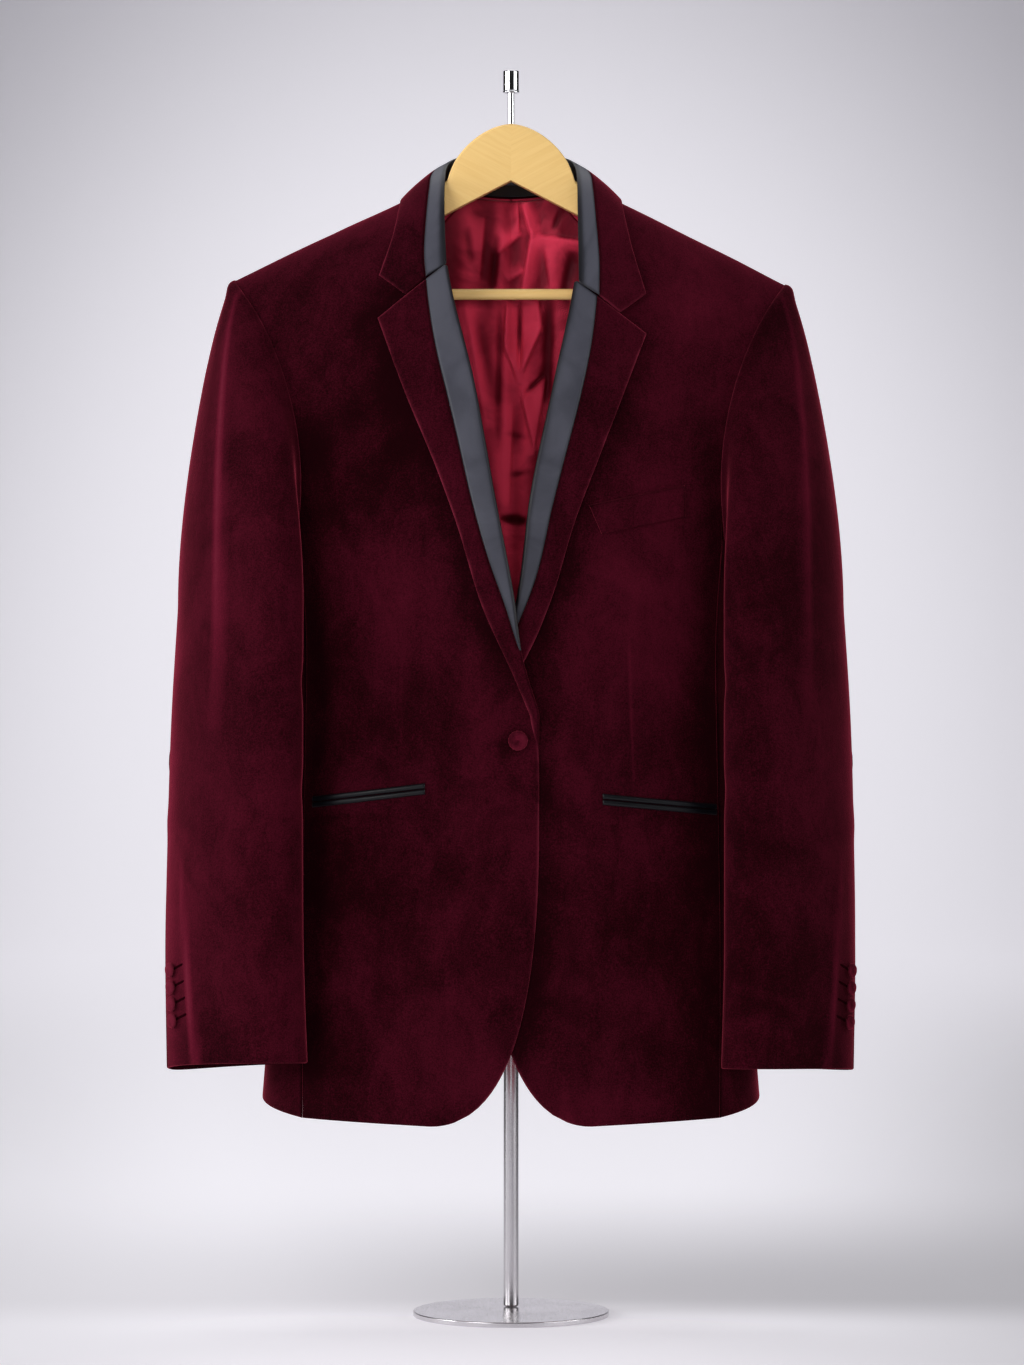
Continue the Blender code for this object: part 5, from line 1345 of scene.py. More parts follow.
def sleeve_sheets(context, side):
    """The top sleeve outside and the under sleeve towards the body."""
    trim = SEAM_GAP / SLEEVE_TURN_LENGTH
    shares, places = grid_places("sleeve")
    for stem, (first, last, edges) in SLEEVE_SPANS.items():
        turns = mix(first + trim, last - trim, places)
        points = sleeve_grid(turns, shares, side)
        z = points[..., 2]
        middle = points[len(shares) // 2].mean(axis=0)
        axis = sleeve_ring(np.linspace(0, 1, 24), np.full(24, middle[2]), side).mean(axis=0)
        along = np.broadcast_to(turns * SLEEVE_TURN_LENGTH, z.shape)
        relief = sleeve_relief(along, z, turns, shares, side) * context.scene.jacket_cloth.crease
        # Tone of brushed pile and painted light, with the ridges' painted highlights
        tone_and_painted_light = brushed(along, z, SLEEVE_NAP_AND_PAINTED_LIGHT) + troughs(along, z, {**SLEEVE_RIDGES, **RIDGE_LIGHT})
        sew(context, "velvet", stem + SIDES[side], points, grid_normals(points, middle - axis), edges,
            relief,
            SLEEVE_TONE_SHARE[side] * tone_and_painted_light + SLEEVE_PAINTED_SIDE_LIGHT[side])


class JACKET_OT_sleeves(bpy.types.Operator):
    """Makes the two-piece sleeves"""
    bl_idname = "jacket.sleeves"
    bl_label = "Sleeves"

    def execute(self, context):
        for side in SIDES:
            sleeve_sheets(context, side)
        return {"FINISHED"}


# Lapels and collar


# Tone of each satin strip from its foot to its top, and painted shade where the strip rolls into the roll
# line
SATIN_TONE = {-1: (0.12, 0.38), 1: (-0.18, 0.2)}
SATIN_TONE_RUN = 0.7
SATIN_COLUMNS = {"flat": 16, "roll": 14, "dark_from": 12, "dark_run": 8}
SATIN_ROWS = (0.31, 0.0042)
ROLL_DARK = 1.2
LAPEL_BRUSH = 0.12
LAPEL_FOOT_SHARE = 0.25
LAPEL_SINK_FROM = 0.05


def satin_start(side):
    """Level of the lapel at which its satin strip begins."""
    return (SATIN_END_Z - LAPEL_BOTTOM[side]) / (GORGE[side]["roll"][1] - LAPEL_BOTTOM[side])


def spread(values, shape):
    """One value for each row, repeated across it."""
    return np.broadcast_to(values[:, None], shape)


def lapel_sheet(context, side):
    """The velvet of one lapel."""
    foot = LAPEL_FOOT[side]
    rows, columns = grid_places("lapel")
    levels = mix(foot, 1, rows)
    *_, length, satin = lapel_row(side, levels)
    low = np.where(levels >= satin_start(side), satin + SEAM_GAP / length, 0.0)[:, None]
    widen = smooth_step((levels - foot) / LAPEL_SINK_RUN)[:, None]
    taper = mix(LAPEL_FOOT_SHARE, 1, widen)
    shares = low + (1 - low) * columns * (taper if foot else 1.0)
    sink = LAPEL_LIFT_LOW * smooth_step((LAPEL_SINK_FROM - levels) / LAPEL_SINK_RUN) * (foot < 0)
    points, normals = lapel_points(side, spread(levels, shares.shape), shares)
    sew(context, "velvet", "lapel_" + SIDES[side], points, normals, ("flat", "free", "seam", "free"),
        -spread(sink, shares.shape), LAPEL_BRUSH)


def lapel_strip(context, side):
    """The satin strip that turns round the roll line of one lapel, with painted shade where it rolls under.
    """
    first = satin_start(side)
    levels = mix(first, 1, spaced(*SATIN_ROWS))
    *_, length, satin = lapel_row(side, levels)
    radius = np.minimum(ROLL_RADIUS, 0.5 * satin * length)
    shares = mix(satin[:, None], (radius / length)[:, None], np.linspace(0, 1, SATIN_COLUMNS["flat"]))
    points, normals = lapel_points(side, spread(levels, shares.shape), shares)
    up = normals[:, -1:]
    angles = np.radians(ROLL_TURN) * np.linspace(0, 1, SATIN_COLUMNS["roll"])[1:, None]
    curl = unit(-np.sin(angles) * np.array((side, 0.0, 0.0)) + np.cos(angles) * up)
    rolled = points[:, -1:] - radius[:, None, None] * up + radius[:, None, None] * curl
    points = np.concatenate([points, rolled], axis=1)
    normals = np.concatenate([normals, curl], axis=1)
    low, high = SATIN_TONE[side]
    tone = mix(low, high, smooth_step((levels - first) / SATIN_TONE_RUN))
    inward = (np.arange(points.shape[1]) - SATIN_COLUMNS["dark_from"]) / SATIN_COLUMNS["dark_run"]
    sew(context, "strip", "lapel_satin_" + SIDES[side], points, normals, ("flat", "seam", "seam", "flat"),
        nap=tone[:, None] - ROLL_DARK * smooth_step(inward))


class JACKET_OT_lapels(bpy.types.Operator):
    """Makes the velvet lapels and their satin strips"""
    bl_idname = "jacket.lapels"
    bl_label = "Lapels"

    def execute(self, context):
        for side in SIDES:
            lapel_sheet(context, side)
            lapel_strip(context, side)
        return {"FINISHED"}


COLLAR_CORNER = 1 / 12
# Painted light on the leaf, lighter higher up and to the right, less a step; painted highlight on the satin's
# outer part, falling to painted shade into the fold
COLLAR_PAINTED_LIGHT = {"z": 0.868, "climb": 3.0, "most": 0.16, "across": 1.4, "dark": 0.03}
COLLAR_SHEEN = {"light": 0.5, "fall": 1.4, "from": 0.25, "run": 0.22}


def leaf_points(places, shares):
    """The collar's velvet leaf; its ends turn at the notch."""
    stations = collar_stations(places)
    satin, leaf, middle = (stations[:, column, None] for column in (2, 3, 4))
    t = shares[None, :, None]
    control = 2 * middle - 0.5 * (satin + leaf)
    bowed = (1 - t) ** 2 * satin + 2 * t * (1 - t) * control + t * t * leaf
    bent = np.where(t <= 0.5, mix(satin, middle, 2 * t), mix(middle, leaf, 2 * t - 1))
    corner = np.clip((np.abs(places) - 1 + COLLAR_CORNER) / COLLAR_CORNER, 0, 1)[:, None, None]
    return mix(bowed, bent, corner) + (1 - t) ** 6 * SEAM_GAP * unit(middle - satin)


def stand_points(places, shares):
    """The collar's satin from its outer edge, share 0, over the fold, 0.5, down to the neck seam, 1."""
    stations = collar_stations(places)
    fold, neck, satin = (stations[:, column, None] for column in (0, 1, 2))
    t = shares[None, :, None]
    outside = mix(satin, fold, np.clip(2 * t, 0, 1))
    inside = mix(fold, neck, np.clip(2 * t - 1, 0, 1))
    straight = np.where(t < 0.5, outside, inside)
    turn = np.clip((t - 0.5) / FOLD_SOFTNESS + 0.5, 0, 1)
    before = mix(fold, satin, FOLD_SOFTNESS)
    after = mix(fold, neck, FOLD_SOFTNESS)
    soft = (1 - turn) ** 2 * before + 2 * turn * (1 - turn) * fold + turn ** 2 * after
    return np.where(np.abs(t - 0.5) < FOLD_SOFTNESS / 2, soft, straight)


def collar_leaf(context):
    """The collar's velvet, with painted light that grows towards its top and right."""
    rows, columns = grid_places("collar")
    leaf = leaf_points(2 * rows - 1, columns)
    height = COLLAR_PAINTED_LIGHT["climb"] * (leaf[..., 2] - COLLAR_PAINTED_LIGHT["z"])
    tone_and_painted_light = LAPEL_BRUSH + np.clip(height, -COLLAR_PAINTED_LIGHT["most"], COLLAR_PAINTED_LIGHT["most"])
    tone_and_painted_light = tone_and_painted_light + COLLAR_PAINTED_LIGHT["across"] * leaf[..., 0] - COLLAR_PAINTED_LIGHT["dark"]
    sew(context, "velvet", "collar", leaf, grid_normals(leaf, (0.0, 1.0, 0.6)),
        ("worn", "worn", "seam", "free"), nap=tone_and_painted_light)


def collar_strip(context):
    """The collar's satin, with its stand: a painted highlight on its outer part and painted shade into the
    fold.
    """
    rows, columns = grid_places("collar_satin")
    stand = stand_points(2 * rows - 1, columns)
    inward = smooth_step((columns - COLLAR_SHEEN["from"]) / COLLAR_SHEEN["run"])
    into_fold = COLLAR_SHEEN["light"] - COLLAR_SHEEN["fall"] * inward * np.ones((len(rows), 1))
    sew(context, "strip", "collar_satin", stand, grid_normals(stand, (0.0, -0.4, 1.0)),
        ("seam", "seam", "seam", "flat"), nap=into_fold)


def neck_label(context):
    """The bare label at the back of the stand."""
    shares = 0.5 + 0.5 * np.linspace(LABEL["top"], LABEL["bottom"], 13)
    base = stand_points(np.linspace(-1, 1, 41) * LABEL["reach"], shares)
    normals = grid_normals(base, (0.0, -1.0, 0.4))
    face = base + (SEAM_GAP + LABEL["thickness"]) * normals
    sew(context, "label", "neck_label", face, normals, ("free",) * 4)


class JACKET_OT_collar(bpy.types.Operator):
    """Makes the collar's velvet leaf, its satin with the stand, and the bare neck label"""
    bl_idname = "jacket.collar"
    bl_label = "Collar"

    def execute(self, context):
        collar_leaf(context)
        collar_strip(context)
        neck_label(context)
        return {"FINISHED"}


# Pockets


JET_PUFF = 0.0006
WELT_PUFF = 0.0004


def strip(context, kind, node, corners, side, edges, puff, nap=None):
    """A strip that lies on a front, between four corners given as outward width and height."""
    low_in, low_out, high_in, high_out = (np.array(corner) for corner in corners)
    across = spaced(np.linalg.norm(low_out - low_in), 0.003)[:, None]
    up = np.linspace(0, 1, 13)[:, None]
    spots = mix(mix(low_in, low_out, across), mix(high_in, high_out, across), up[..., None])
    x, z = spots[..., 0], spots[..., 1]
    swell = puff * np.sin(math.pi * up) * np.ones_like(x)
    points = front_point(x, z, side, STRIP_CLEAR + CLOTHS[kind][2] + swell)
    sew(context, kind, node, points, torso_normal(x, z, side, -1), edges,
        nap=nap(x, z, side) if nap else 0.0)


def pocket_jets(context, side):
    """The upper and the lower satin jet of one hip pocket."""
    inner, outer = (np.array(HIP_POCKET[side][end]) for end in ("inner", "outer"))
    for place, low in (("upper", 0.5 * SEAM_GAP), ("lower", -0.5 * SEAM_GAP - JET_WIDTH)):
        down = np.array((0.0, low))
        up = np.array((0.0, low + JET_WIDTH))
        corners = (inner + down, outer + down, inner + up, outer + up)
        node = "pocket_jet_" + place + "_" + SIDES[side]
        strip(context, "jet", node, corners, side, ("hem",) * 4, JET_PUFF)


def chest_welt(context):
    """The velvet welt on the right front, toned as the front is, with its painted light and shade."""
    inner, outer = (np.array(CHEST_WELT[end]) for end in ("inner", "outer"))
    low_inner = inner + np.array((CHEST_WELT["slant"], -CHEST_WELT["inner_height"]))
    low_outer = outer - np.array((0.0, CHEST_WELT["outer_height"]))
    strip(context, "velvet", "chest_welt", (low_inner, low_outer, inner, outer), 1,
          ("flat", "seam", "flat", "seam"), WELT_PUFF, front_nap_and_painted_light)


class JACKET_OT_pockets(bpy.types.Operator):
    """Makes the satin jets of the hip pockets and the velvet welt on the chest"""
    bl_idname = "jacket.pockets"
    bl_label = "Pockets"

    def execute(self, context):
        for side in SIDES:
            pocket_jets(context, side)
        chest_welt(context)
        return {"FINISHED"}


# Buttons and buttonholes


BUTTON_PROFILE = {"radius": (0.24, 0.25, 0.34, 0.455, 0.492, 0.48, 0.425, 0.325, 0.18, 0.04),
                  "rise": (0.0, 0.2, 0.27, 0.33, 0.45, 0.61, 0.77, 0.895, 0.972, 0.998)}
PUCKERS = 15
BUTTONHOLE = {"length": 0.019, "slant": 0.007, "width": 0.0022, "pitch": 0.00055, "thread": 0.0003,
              "rise": 0.0003, "points": 14}


def button_mesh(name, material, around=60, rings=30):
    """A covered button of diameter and height one, standing on its shank, with puckers under the rim, painted
    light round its rim and a painted swirl highlight on its dome.
    """
    count = len(BUTTON_PROFILE["rise"])
    spots = np.linspace(0, count - 1, rings)
    radius, rise = (curve(range(count), BUTTON_PROFILE[key], spots)[:, None] for key in ("radius", "rise"))
    angle = round_angles(around)
    gather = bell((rise - 0.36) / 0.12)
    radius = radius * (1 + 0.035 * gather * np.cos(PUCKERS * angle))
    swirl = 0.018 * np.sin(3 * angle + 9 * radius) * bell((rise - 0.85) / 0.15)
    points = stack(radius * np.cos(angle), radius * np.sin(angle), rise + swirl).reshape(-1, 3)
    points = np.concatenate([points, ((0, 0, 0), (0, 0, 1))])
    # Painted highlight round the rim, and a painted swirl highlight on the dome, lighter to one side
    rim = bell((np.concatenate([np.repeat(rise[:, 0], around), (0, 1)]) - 0.5) / 0.16)
    whirl = 0.62 + 0.38 * np.cos(angle - 2.2 + 7 * radius)
    tone_and_painted_light = np.concatenate([(whirl * smooth_step((rise - 0.4) / 0.3)).ravel(), (0.0, 0.2)])
    marks = {"edge_light": 0.5 + 0.3 * rim, "nap": tone_and_painted_light}
    return make_object(name, points, closed_rings(rings, around), [material], attributes=marks, moved=False)


def setting_tree(name, inputs, instance, points):
    """A Geometry Nodes tree that sets a thing on points, along the axis stored on each.

    The thing and the points come from functions of the tree and its inputs.
    """
    tree = bpy.data.node_groups.new(name, "GeometryNodeTree")
    kinds = {"Geometry": "Geometry", **inputs, "Across": "Float", "Along": "Float", "Material": "Material"}
    for socket, kind in kinds.items():
        tree.interface.new_socket(socket, in_out="INPUT", socket_type="NodeSocket" + kind)
    tree.interface.new_socket("Geometry", in_out="OUTPUT", socket_type="NodeSocketGeometry")
    given = tree.nodes.new("NodeGroupInput").outputs
    stored = out(tree, "GeometryNodeInputNamedAttribute", {"Name": "axis"}, data_type="FLOAT_VECTOR")
    turn = out(tree, "FunctionNodeAlignRotationToVector", {"Vector": stored}, axis="Z")
    size = out(tree, "ShaderNodeCombineXYZ", {0: given["Across"], 1: given["Across"], 2: given["Along"]})
    laid = add(tree, "GeometryNodeInstanceOnPoints", {
        "Points": points(tree, given), "Instance": instance(tree, given), "Rotation": turn,
        "Scale": size}).outputs[0]
    real = out(tree, "GeometryNodeRealizeInstances", {0: laid})
    soft = out(tree, "GeometryNodeSetShadeSmooth", {0: real})
    finish = out(tree, "GeometryNodeSetMaterial", {"Geometry": soft, "Material": given["Material"]})
    tree.links.new(finish, tree.nodes.new("NodeGroupOutput").inputs[0])
    return tree


def button_tree():
    """Sets a covered button on each point."""
    return setting_tree(
        "covered_buttons", {"Button": "Object"},
        lambda tree, given: add(
            tree, "GeometryNodeObjectInfo", {"Object": given["Button"]}).outputs["Geometry"],
        lambda tree, given: given["Geometry"])


def stitch_line(tree, given):
    """Points close together along a line."""
    line = out(tree, "GeometryNodeMeshToCurve", {0: given["Geometry"]})
    steps = {"Curve": line, "Length": given["Pitch"]}
    return out(tree, "GeometryNodeResampleCurve", steps, mode="LENGTH")


def stitch_tree():
    """Lays short threads across a line, close together, as in a worked buttonhole."""
    ball = {"Segments": 8, "Rings": 7, "Radius": 1.0}
    return setting_tree(
        "worked_stitches", {"Pitch": "Float"},
        lambda tree, given: add(tree, "GeometryNodeMeshUVSphere", ball).outputs[0], stitch_line)


def grown(name, points, edges, axes, tree, values):
    """A plain mesh made by a Geometry Nodes tree from points, the lines between them and an axis for each."""
    seed = bpy.data.meshes.new(name + "_points")
    points = np.array(points, float) + np.array((0.0, HANGER_Y, 0.0))
    seed.from_pydata([tuple(point) for point in points], edges, [])
    axis = seed.attributes.new("axis", "FLOAT_VECTOR", "POINT")
    axis.data.foreach_set("vector", np.array(axes, float).ravel())
    thing = bpy.data.objects.new(name, seed)
    bpy.context.scene.collection.objects.link(thing)
    modifier = thing.modifiers.new(tree.name, "NODES")
    modifier.node_group = tree
    for socket in tree.interface.items_tree:
        if socket.in_out == "INPUT" and socket.name in values:
            modifier[socket.identifier] = values[socket.name]
    thing.update_tag()
    evaluated = thing.evaluated_get(bpy.context.evaluated_depsgraph_get())
    mesh = bpy.data.meshes.new_from_object(evaluated)
    mesh.name = name
    thing.modifiers.clear()
    thing.data = mesh
    bpy.data.meshes.remove(seed)
    return thing


def sleeve_spot(turn, z, side):
    """A point of the sleeve below its cap, with its outward normal."""
    step = 1e-3
    spot = sleeve_ring(turn, z, side)
    around = sleeve_ring(turn + step, z, side) - sleeve_ring(turn - step, z, side)
    along = sleeve_ring(turn, z - step, side) - sleeve_ring(turn, z + step, side)
    return spot, side * unit(np.cross(around, along))


def button_values(context, pattern, table):
    """What the covered buttons' tree is given for the buttons of a table."""
    return {"Button": pattern, "Across": table["diameter"], "Along": table["height"],
            "Material": velvet(context)}


def cuff_buttons(context, side, pattern, buttons, stitches):
    """The covered buttons of one cuff, and their worked buttonholes."""
    word = SIDES[side]
    turn = HIND_SEAM - 1 + CUFF_BUTTON["inset"]
    seats, axes, line, edges = [], [], [], []
    for count in range(CUFF_BUTTON["count"]):
        z = CUFF_BUTTON["lowest"] + CUFF_BUTTON["pitch"] * count
        seat, axis = sleeve_spot(np.array(turn), np.array(z), side)
        seats.append(seat + BUTTON_CLEAR * axis)
        axes.append(axis)
        share = np.linspace(0, 1, BUTTONHOLE["points"])
        run = turn + share * BUTTONHOLE["length"] / SLEEVE_TURN_LENGTH
        spots, normals = sleeve_spot(run, z + share * BUTTONHOLE["slant"], side)
        edges += [(len(line) + i, len(line) + i + 1) for i in range(len(run) - 1)]
        line += list(spots + BUTTONHOLE["rise"] * normals)
    cuff = grown("cuff_buttons_" + word, seats, [], axes, buttons,
                 button_values(context, pattern, CUFF_BUTTON))
    dress(cuff, ["cuff_button_%s_%d" % (word, i + 1) for i in range(CUFF_BUTTON["count"])])
    holes = grown("cuff_buttonholes_" + word, line, edges, [(0.0, 0.0, 1.0)] * len(line), stitches,
                  {"Pitch": BUTTONHOLE["pitch"], "Along": BUTTONHOLE["width"] / 2,
                   "Across": BUTTONHOLE["thread"], "Material": buttonhole_thread(context)})
    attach(holes, "root")


class JACKET_OT_buttons(bpy.types.Operator):
    """Makes the covered buttons and the worked buttonholes of the cuffs"""
    bl_idname = "jacket.buttons"
    bl_label = "Buttons"

    def execute(self, context):
        pattern = button_mesh("button_pattern", velvet(context))
        buttons = button_tree()
        x, z = np.array(-FRONT_BUTTON["x"]), np.array(FRONT_BUTTON["z"])
        front = grown("front_button_covered", [front_point(x, z, -1, BUTTON_CLEAR)], [],
                      [torso_normal(x, z, -1, -1)], buttons, button_values(context, pattern, FRONT_BUTTON))
        dress(front, ["front_button"])
        stitches = stitch_tree()
        for side in SIDES:
            cuff_buttons(context, side, pattern, buttons, stitches)
        bpy.data.objects.remove(pattern, do_unlink=True)
        return {"FINISHED"}


# Lining


LINING_CREASES = {
    "x0": (0.0084, 0.0174, 0.0051, 0.0156, 0.009, -0.0111, -0.0365, -0.0025, 0.042, -0.0086, -0.0033,
           -0.0061, 0.0074, 0.0214, 0.0258, 0.0288, 0.0074, 0.0283, 0.0321, -0.0074, -0.0025, -0.0289,
           -0.0379, -0.0091, 0.0008, -0.0223, 0.0288, 0.0519),
    "z0": (0.9201, 0.8969, 0.9224, 0.8937, 0.896, 0.8944, 0.9002, 0.8565, 0.915, 0.8441, 0.8392, 0.8046,
           0.8392, 0.8425, 0.8194, 0.7807, 0.7683, 0.7782, 0.8441, 0.7312, 0.6958, 0.8309, 0.8392, 0.6604,
           0.7568, 0.91, 0.8837, 0.8804),
    "x1": (0.0174, 0.009, 0.0064, 0.0651, -0.0132, -0.0157, -0.0322, 0.0115, 0.0346, -0.0107, -0.0058,
           0.0066, 0.007, 0.0258, 0.0077, 0.0074, 0.0194, 0.0181, 0.0296, 0.0189, 0.0173, -0.0124, -0.0198,
           0.0132, -0.0025, -0.0272, 0.0338, 0.042),
    "z1": (0.8915, 0.8458, 0.896, 0.8861, 0.8787, 0.8474, 0.8705, 0.8655, 0.8977, 0.7139, 0.7963, 0.7724,
           0.7782, 0.8128, 0.7782, 0.7601, 0.7156, 0.7115, 0.7535, 0.7255, 0.6991, 0.7527, 0.7337, 0.6579,
           0.6703, 0.8557, 0.8474, 0.8392),
    "width": (0.0026, 0.0026, 0.002, 0.0034, 0.0032, 0.003, 0.003, 0.0024, 0.0022, 0.0032, 0.0026, 0.0026,
              0.0017, 0.0026, 0.0026, 0.002, 0.0024, 0.0026, 0.005, 0.0024, 0.0024, 0.005, 0.004, 0.0032,
              0.004, 0.004, 0.0036, 0.004),
    "height": (0.007, 0.0065, 0.0035, 0.0042, 0.0044, -0.003, -0.002, 0.003, -0.0024, -0.004, 0.0065,
               0.0055, -0.0045, 0.0055, 0.0075, -0.0045, 0.006, 0.006, -0.005, -0.0016, -0.0018, -0.0026,
               0.0034, -0.006, 0.003, 0.0026, 0.0028, -0.0026),
}
LINING_LEANS = (1, 1, -1, -1, -1, 0, 0, 1, 0, 0, 1, 1, 0, -1, -1, 0, 1, -1, 0, 0, 0, 0, 1, 0, -1, -1, 1, 0)
LINING_TAPER = 0.5
LINING_FOLD_SHARE = 0.32
# Painted light of the lining: fold ridges lighter and troughs darker by their height, painted shade near the
# neck and painted light below
LINING_TONE = {"middle": 0.0014, "spread": 0.0046, "most": 0.9}
LINING_PRESS = 0.7
LINING_LIGHT = {"z": (0.886, 0.79), "reach": (0.036, 0.05), "light": (-0.26, 0.26)}


def highest(x, reach, side, face):
    """Greatest height at which the cloth still stands this far from the hanger's plane."""
    low = np.full_like(np.asarray(x, float), PIT_Z)
    high = ridge(x, side) + 0 * low
    for _ in range(30):
        middle = 0.5 * (low + high)
        inside = depth(x, middle, side, face) >= reach
        low = np.where(inside, middle, low)
        high = np.where(inside, high, middle)
    return low


def lining_fold(x, rise):
    """How far the lining stands in from the back at a width and a share of its height."""
    total = np.zeros(np.broadcast(x, rise).shape)
    for top, bottom, width, deep in zip(*LINING_FOLDS.values()):
        total += deep * bell((x - mix(bottom, top, rise)) / width)
    ease = np.sin(math.pi * (LINING_EASE["foot"] - LINING_EASE["run"] * rise))
    return total * ease ** LINING_EASE["power"]


def lining_half(side, x, rise):
    """Points of the lining on one side, at outward widths and shares of its height, and their tone: painted
    highlights on the fold ridges, painted shade in the troughs.
    """
    top = np.minimum(back_neck(x) - LINING_NECK_DROP, highest(x, LINING_TOP_REACH, side, 1))
    z = mix(LINING_BOTTOM, top, rise)
    run = np.clip((1 - rise) / LINING_CLEAR_RUN, 0, 1)
    clear = LINING + mix(LINING_TOP_CLEAR, LINING_CLEAR, run)
    fold = LINING_FOLD_SHARE * lining_fold(side * x, rise)
    fold = fold + troughs(side * x, z, LINING_CREASES, LINING_LEANS, LINING_TAPER)
    fold = np.maximum(fold, -LINING_PRESS * (clear - LINING))
    points = stack(side * x, depth(x, z, side, 1) - VELVET - clear - fold, z)
    tone = (fold - LINING_TONE["middle"]) / LINING_TONE["spread"]
    for height, reach, light in zip(*LINING_LIGHT.values()):
        tone = tone + light * bell((z - height) / reach)
    return points, np.clip(tone, -LINING_TONE["most"], LINING_TONE["most"])


class JACKET_OT_lining(bpy.types.Operator):
    """Hangs the crimson lining inside the backs, in soft folds"""
    bl_idname = "jacket.lining"
    bl_label = "Lining"

    def execute(self, context):
        rise = np.concatenate([np.linspace(0, 0.36, 36), np.linspace(0.36, 1, 170)[1:]])[:, None]
        x = LINING_HALF_WIDTH * np.linspace(0, 1, 110) ** 1.25
        halves = [lining_half(-1, x[:0:-1], rise), lining_half(1, x, rise)]
        points, tone = (np.concatenate(parts, axis=1) for parts in zip(*halves))
        sew(context, "lining", "back_lining", points, grid_normals(points, (0.0, -1.0, 0.0)),
            ("hem", "seam", "flat", "flat"), nap=tone)
        return {"FINISHED"}


# Hanger and stand


def crown(x):
    """Height of the hanger's crown."""
    inside = np.maximum(0.0, 1 - (np.minimum(x, CROWN_END_X) / CROWN_HALF_WIDTH) ** CROWN_SQUARENESS)
    return mix(CROWN_FOOT, CROWN_TOP, inside ** (1 / CROWN_SQUARENESS))


def under_shoulder(x, y, side):
    """Top of the hanger under the shoulder cloth at a width and a depth."""
    clear = SHOULDER_CLEAR * np.minimum(1.0, 0.3 + 3 * np.abs(y) / HANGER_THICKNESS)
    tops = [highest(x, np.abs(y), side, face) - 1.2 * VELVET - clear for face in (-1, 1)]
    tops += [highest(x, np.abs(y) + 1.5 * VELVET + clear, side, face) for face in (-1, 1)]
    return np.minimum.reduce(tops)


def hanger_rings(side):
    """Rings of points along one half of the hanger, from the centre seam to its tip."""
    half = HANGER_THICKNESS / 2
    near = NECK_X * np.linspace(0, 1, 60)
    far = mix(NECK_X, HANGER_TIP_X - HANGER_EDGE_ROUND, np.linspace(0, 1, 60)[1:])
    tip = HANGER_TIP_X - HANGER_EDGE_ROUND * (1 - np.sin(np.linspace(0, math.pi / 2, 8)[1:]))
    x = np.concatenate([near, far, tip])[:, None]
    bottom = np.where(x < NOTCH_END_X, mix(NOTCH_PEAK, NOTCH_END_Z, x / NOTCH_END_X),
                      NOTCH_END_Z - ARM_SLOPE * (x - NOTCH_END_X))
    past_bar = smooth_step((x - BAR_HALF_LENGTH + TIP_BOTTOM_RUN) / TIP_BOTTOM_RUN)
    bottom = mix(bottom, TIP_BOTTOM, past_bar)
    bevel = HANGER_EDGE_ROUND / 3
    corner = np.linspace(0, math.pi / 2, 6)
    below_y = np.concatenate([half - bevel + bevel * np.cos(corner), -half + bevel - bevel * np.sin(corner)])
    below_z = bottom + np.concatenate([bevel - bevel * np.sin(corner), bevel - bevel * np.cos(corner)])
    y = half * np.sin(np.linspace(-math.pi / 2, math.pi / 2, 25))
    edge = np.maximum(0.0, np.abs(y) - half + HANGER_EDGE_ROUND)
    top = crown(x) - HANGER_EDGE_ROUND + np.sqrt(HANGER_EDGE_ROUND ** 2 - edge ** 2)
    blend = np.clip((x - CROWN_BLEND_X) / (NECK_X - CROWN_BLEND_X), 0, 1) ** 2
    wide, deep = np.broadcast_arrays(np.maximum(x, NECK_X), y)
    top = mix(top, under_shoulder(wide, deep, side), blend)
    y = np.broadcast_to(np.concatenate([below_y, y]), (len(x), len(below_y) + len(y)))
    z = np.concatenate([below_z, top], axis=1)
    shrink = np.sqrt(1 - np.clip((x - HANGER_TIP_X + HANGER_EDGE_ROUND) / HANGER_EDGE_ROUND, 0, 1) ** 2)
    middle = 0.5 * (z.max(axis=1, keepdims=True) + z.min(axis=1, keepdims=True))
    reach = 0.5 * (z.max(axis=1, keepdims=True) - z.min(axis=1, keepdims=True))
    z = mix(middle, z, 1 - HANGER_EDGE_ROUND / reach * (1 - shrink))
    return stack(side * x + 0 * y, y * (0.6 + 0.4 * shrink), z)


def capped_rings(points):
    """Faces between closed rings of points, with one face on the first ring and one on the last."""
    rings, around = points.shape[:2]
    corner = np.arange(rings * around).reshape(rings, around)
    return [ring_quads(rings, around), corner[:1, ::-1], corner[-1:]]


def upright(name, node, material, bevel, y, around=64):
    """A round piece on a vertical axis, as wide and high as the node that it replaces."""
    low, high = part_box(node)
    profile = rounded((high[0] - low[0]) / 2, low[2], high[2], bevel)
    dress(turned(name, profile, material, (0.0, y, 0.0), around=around), [node])


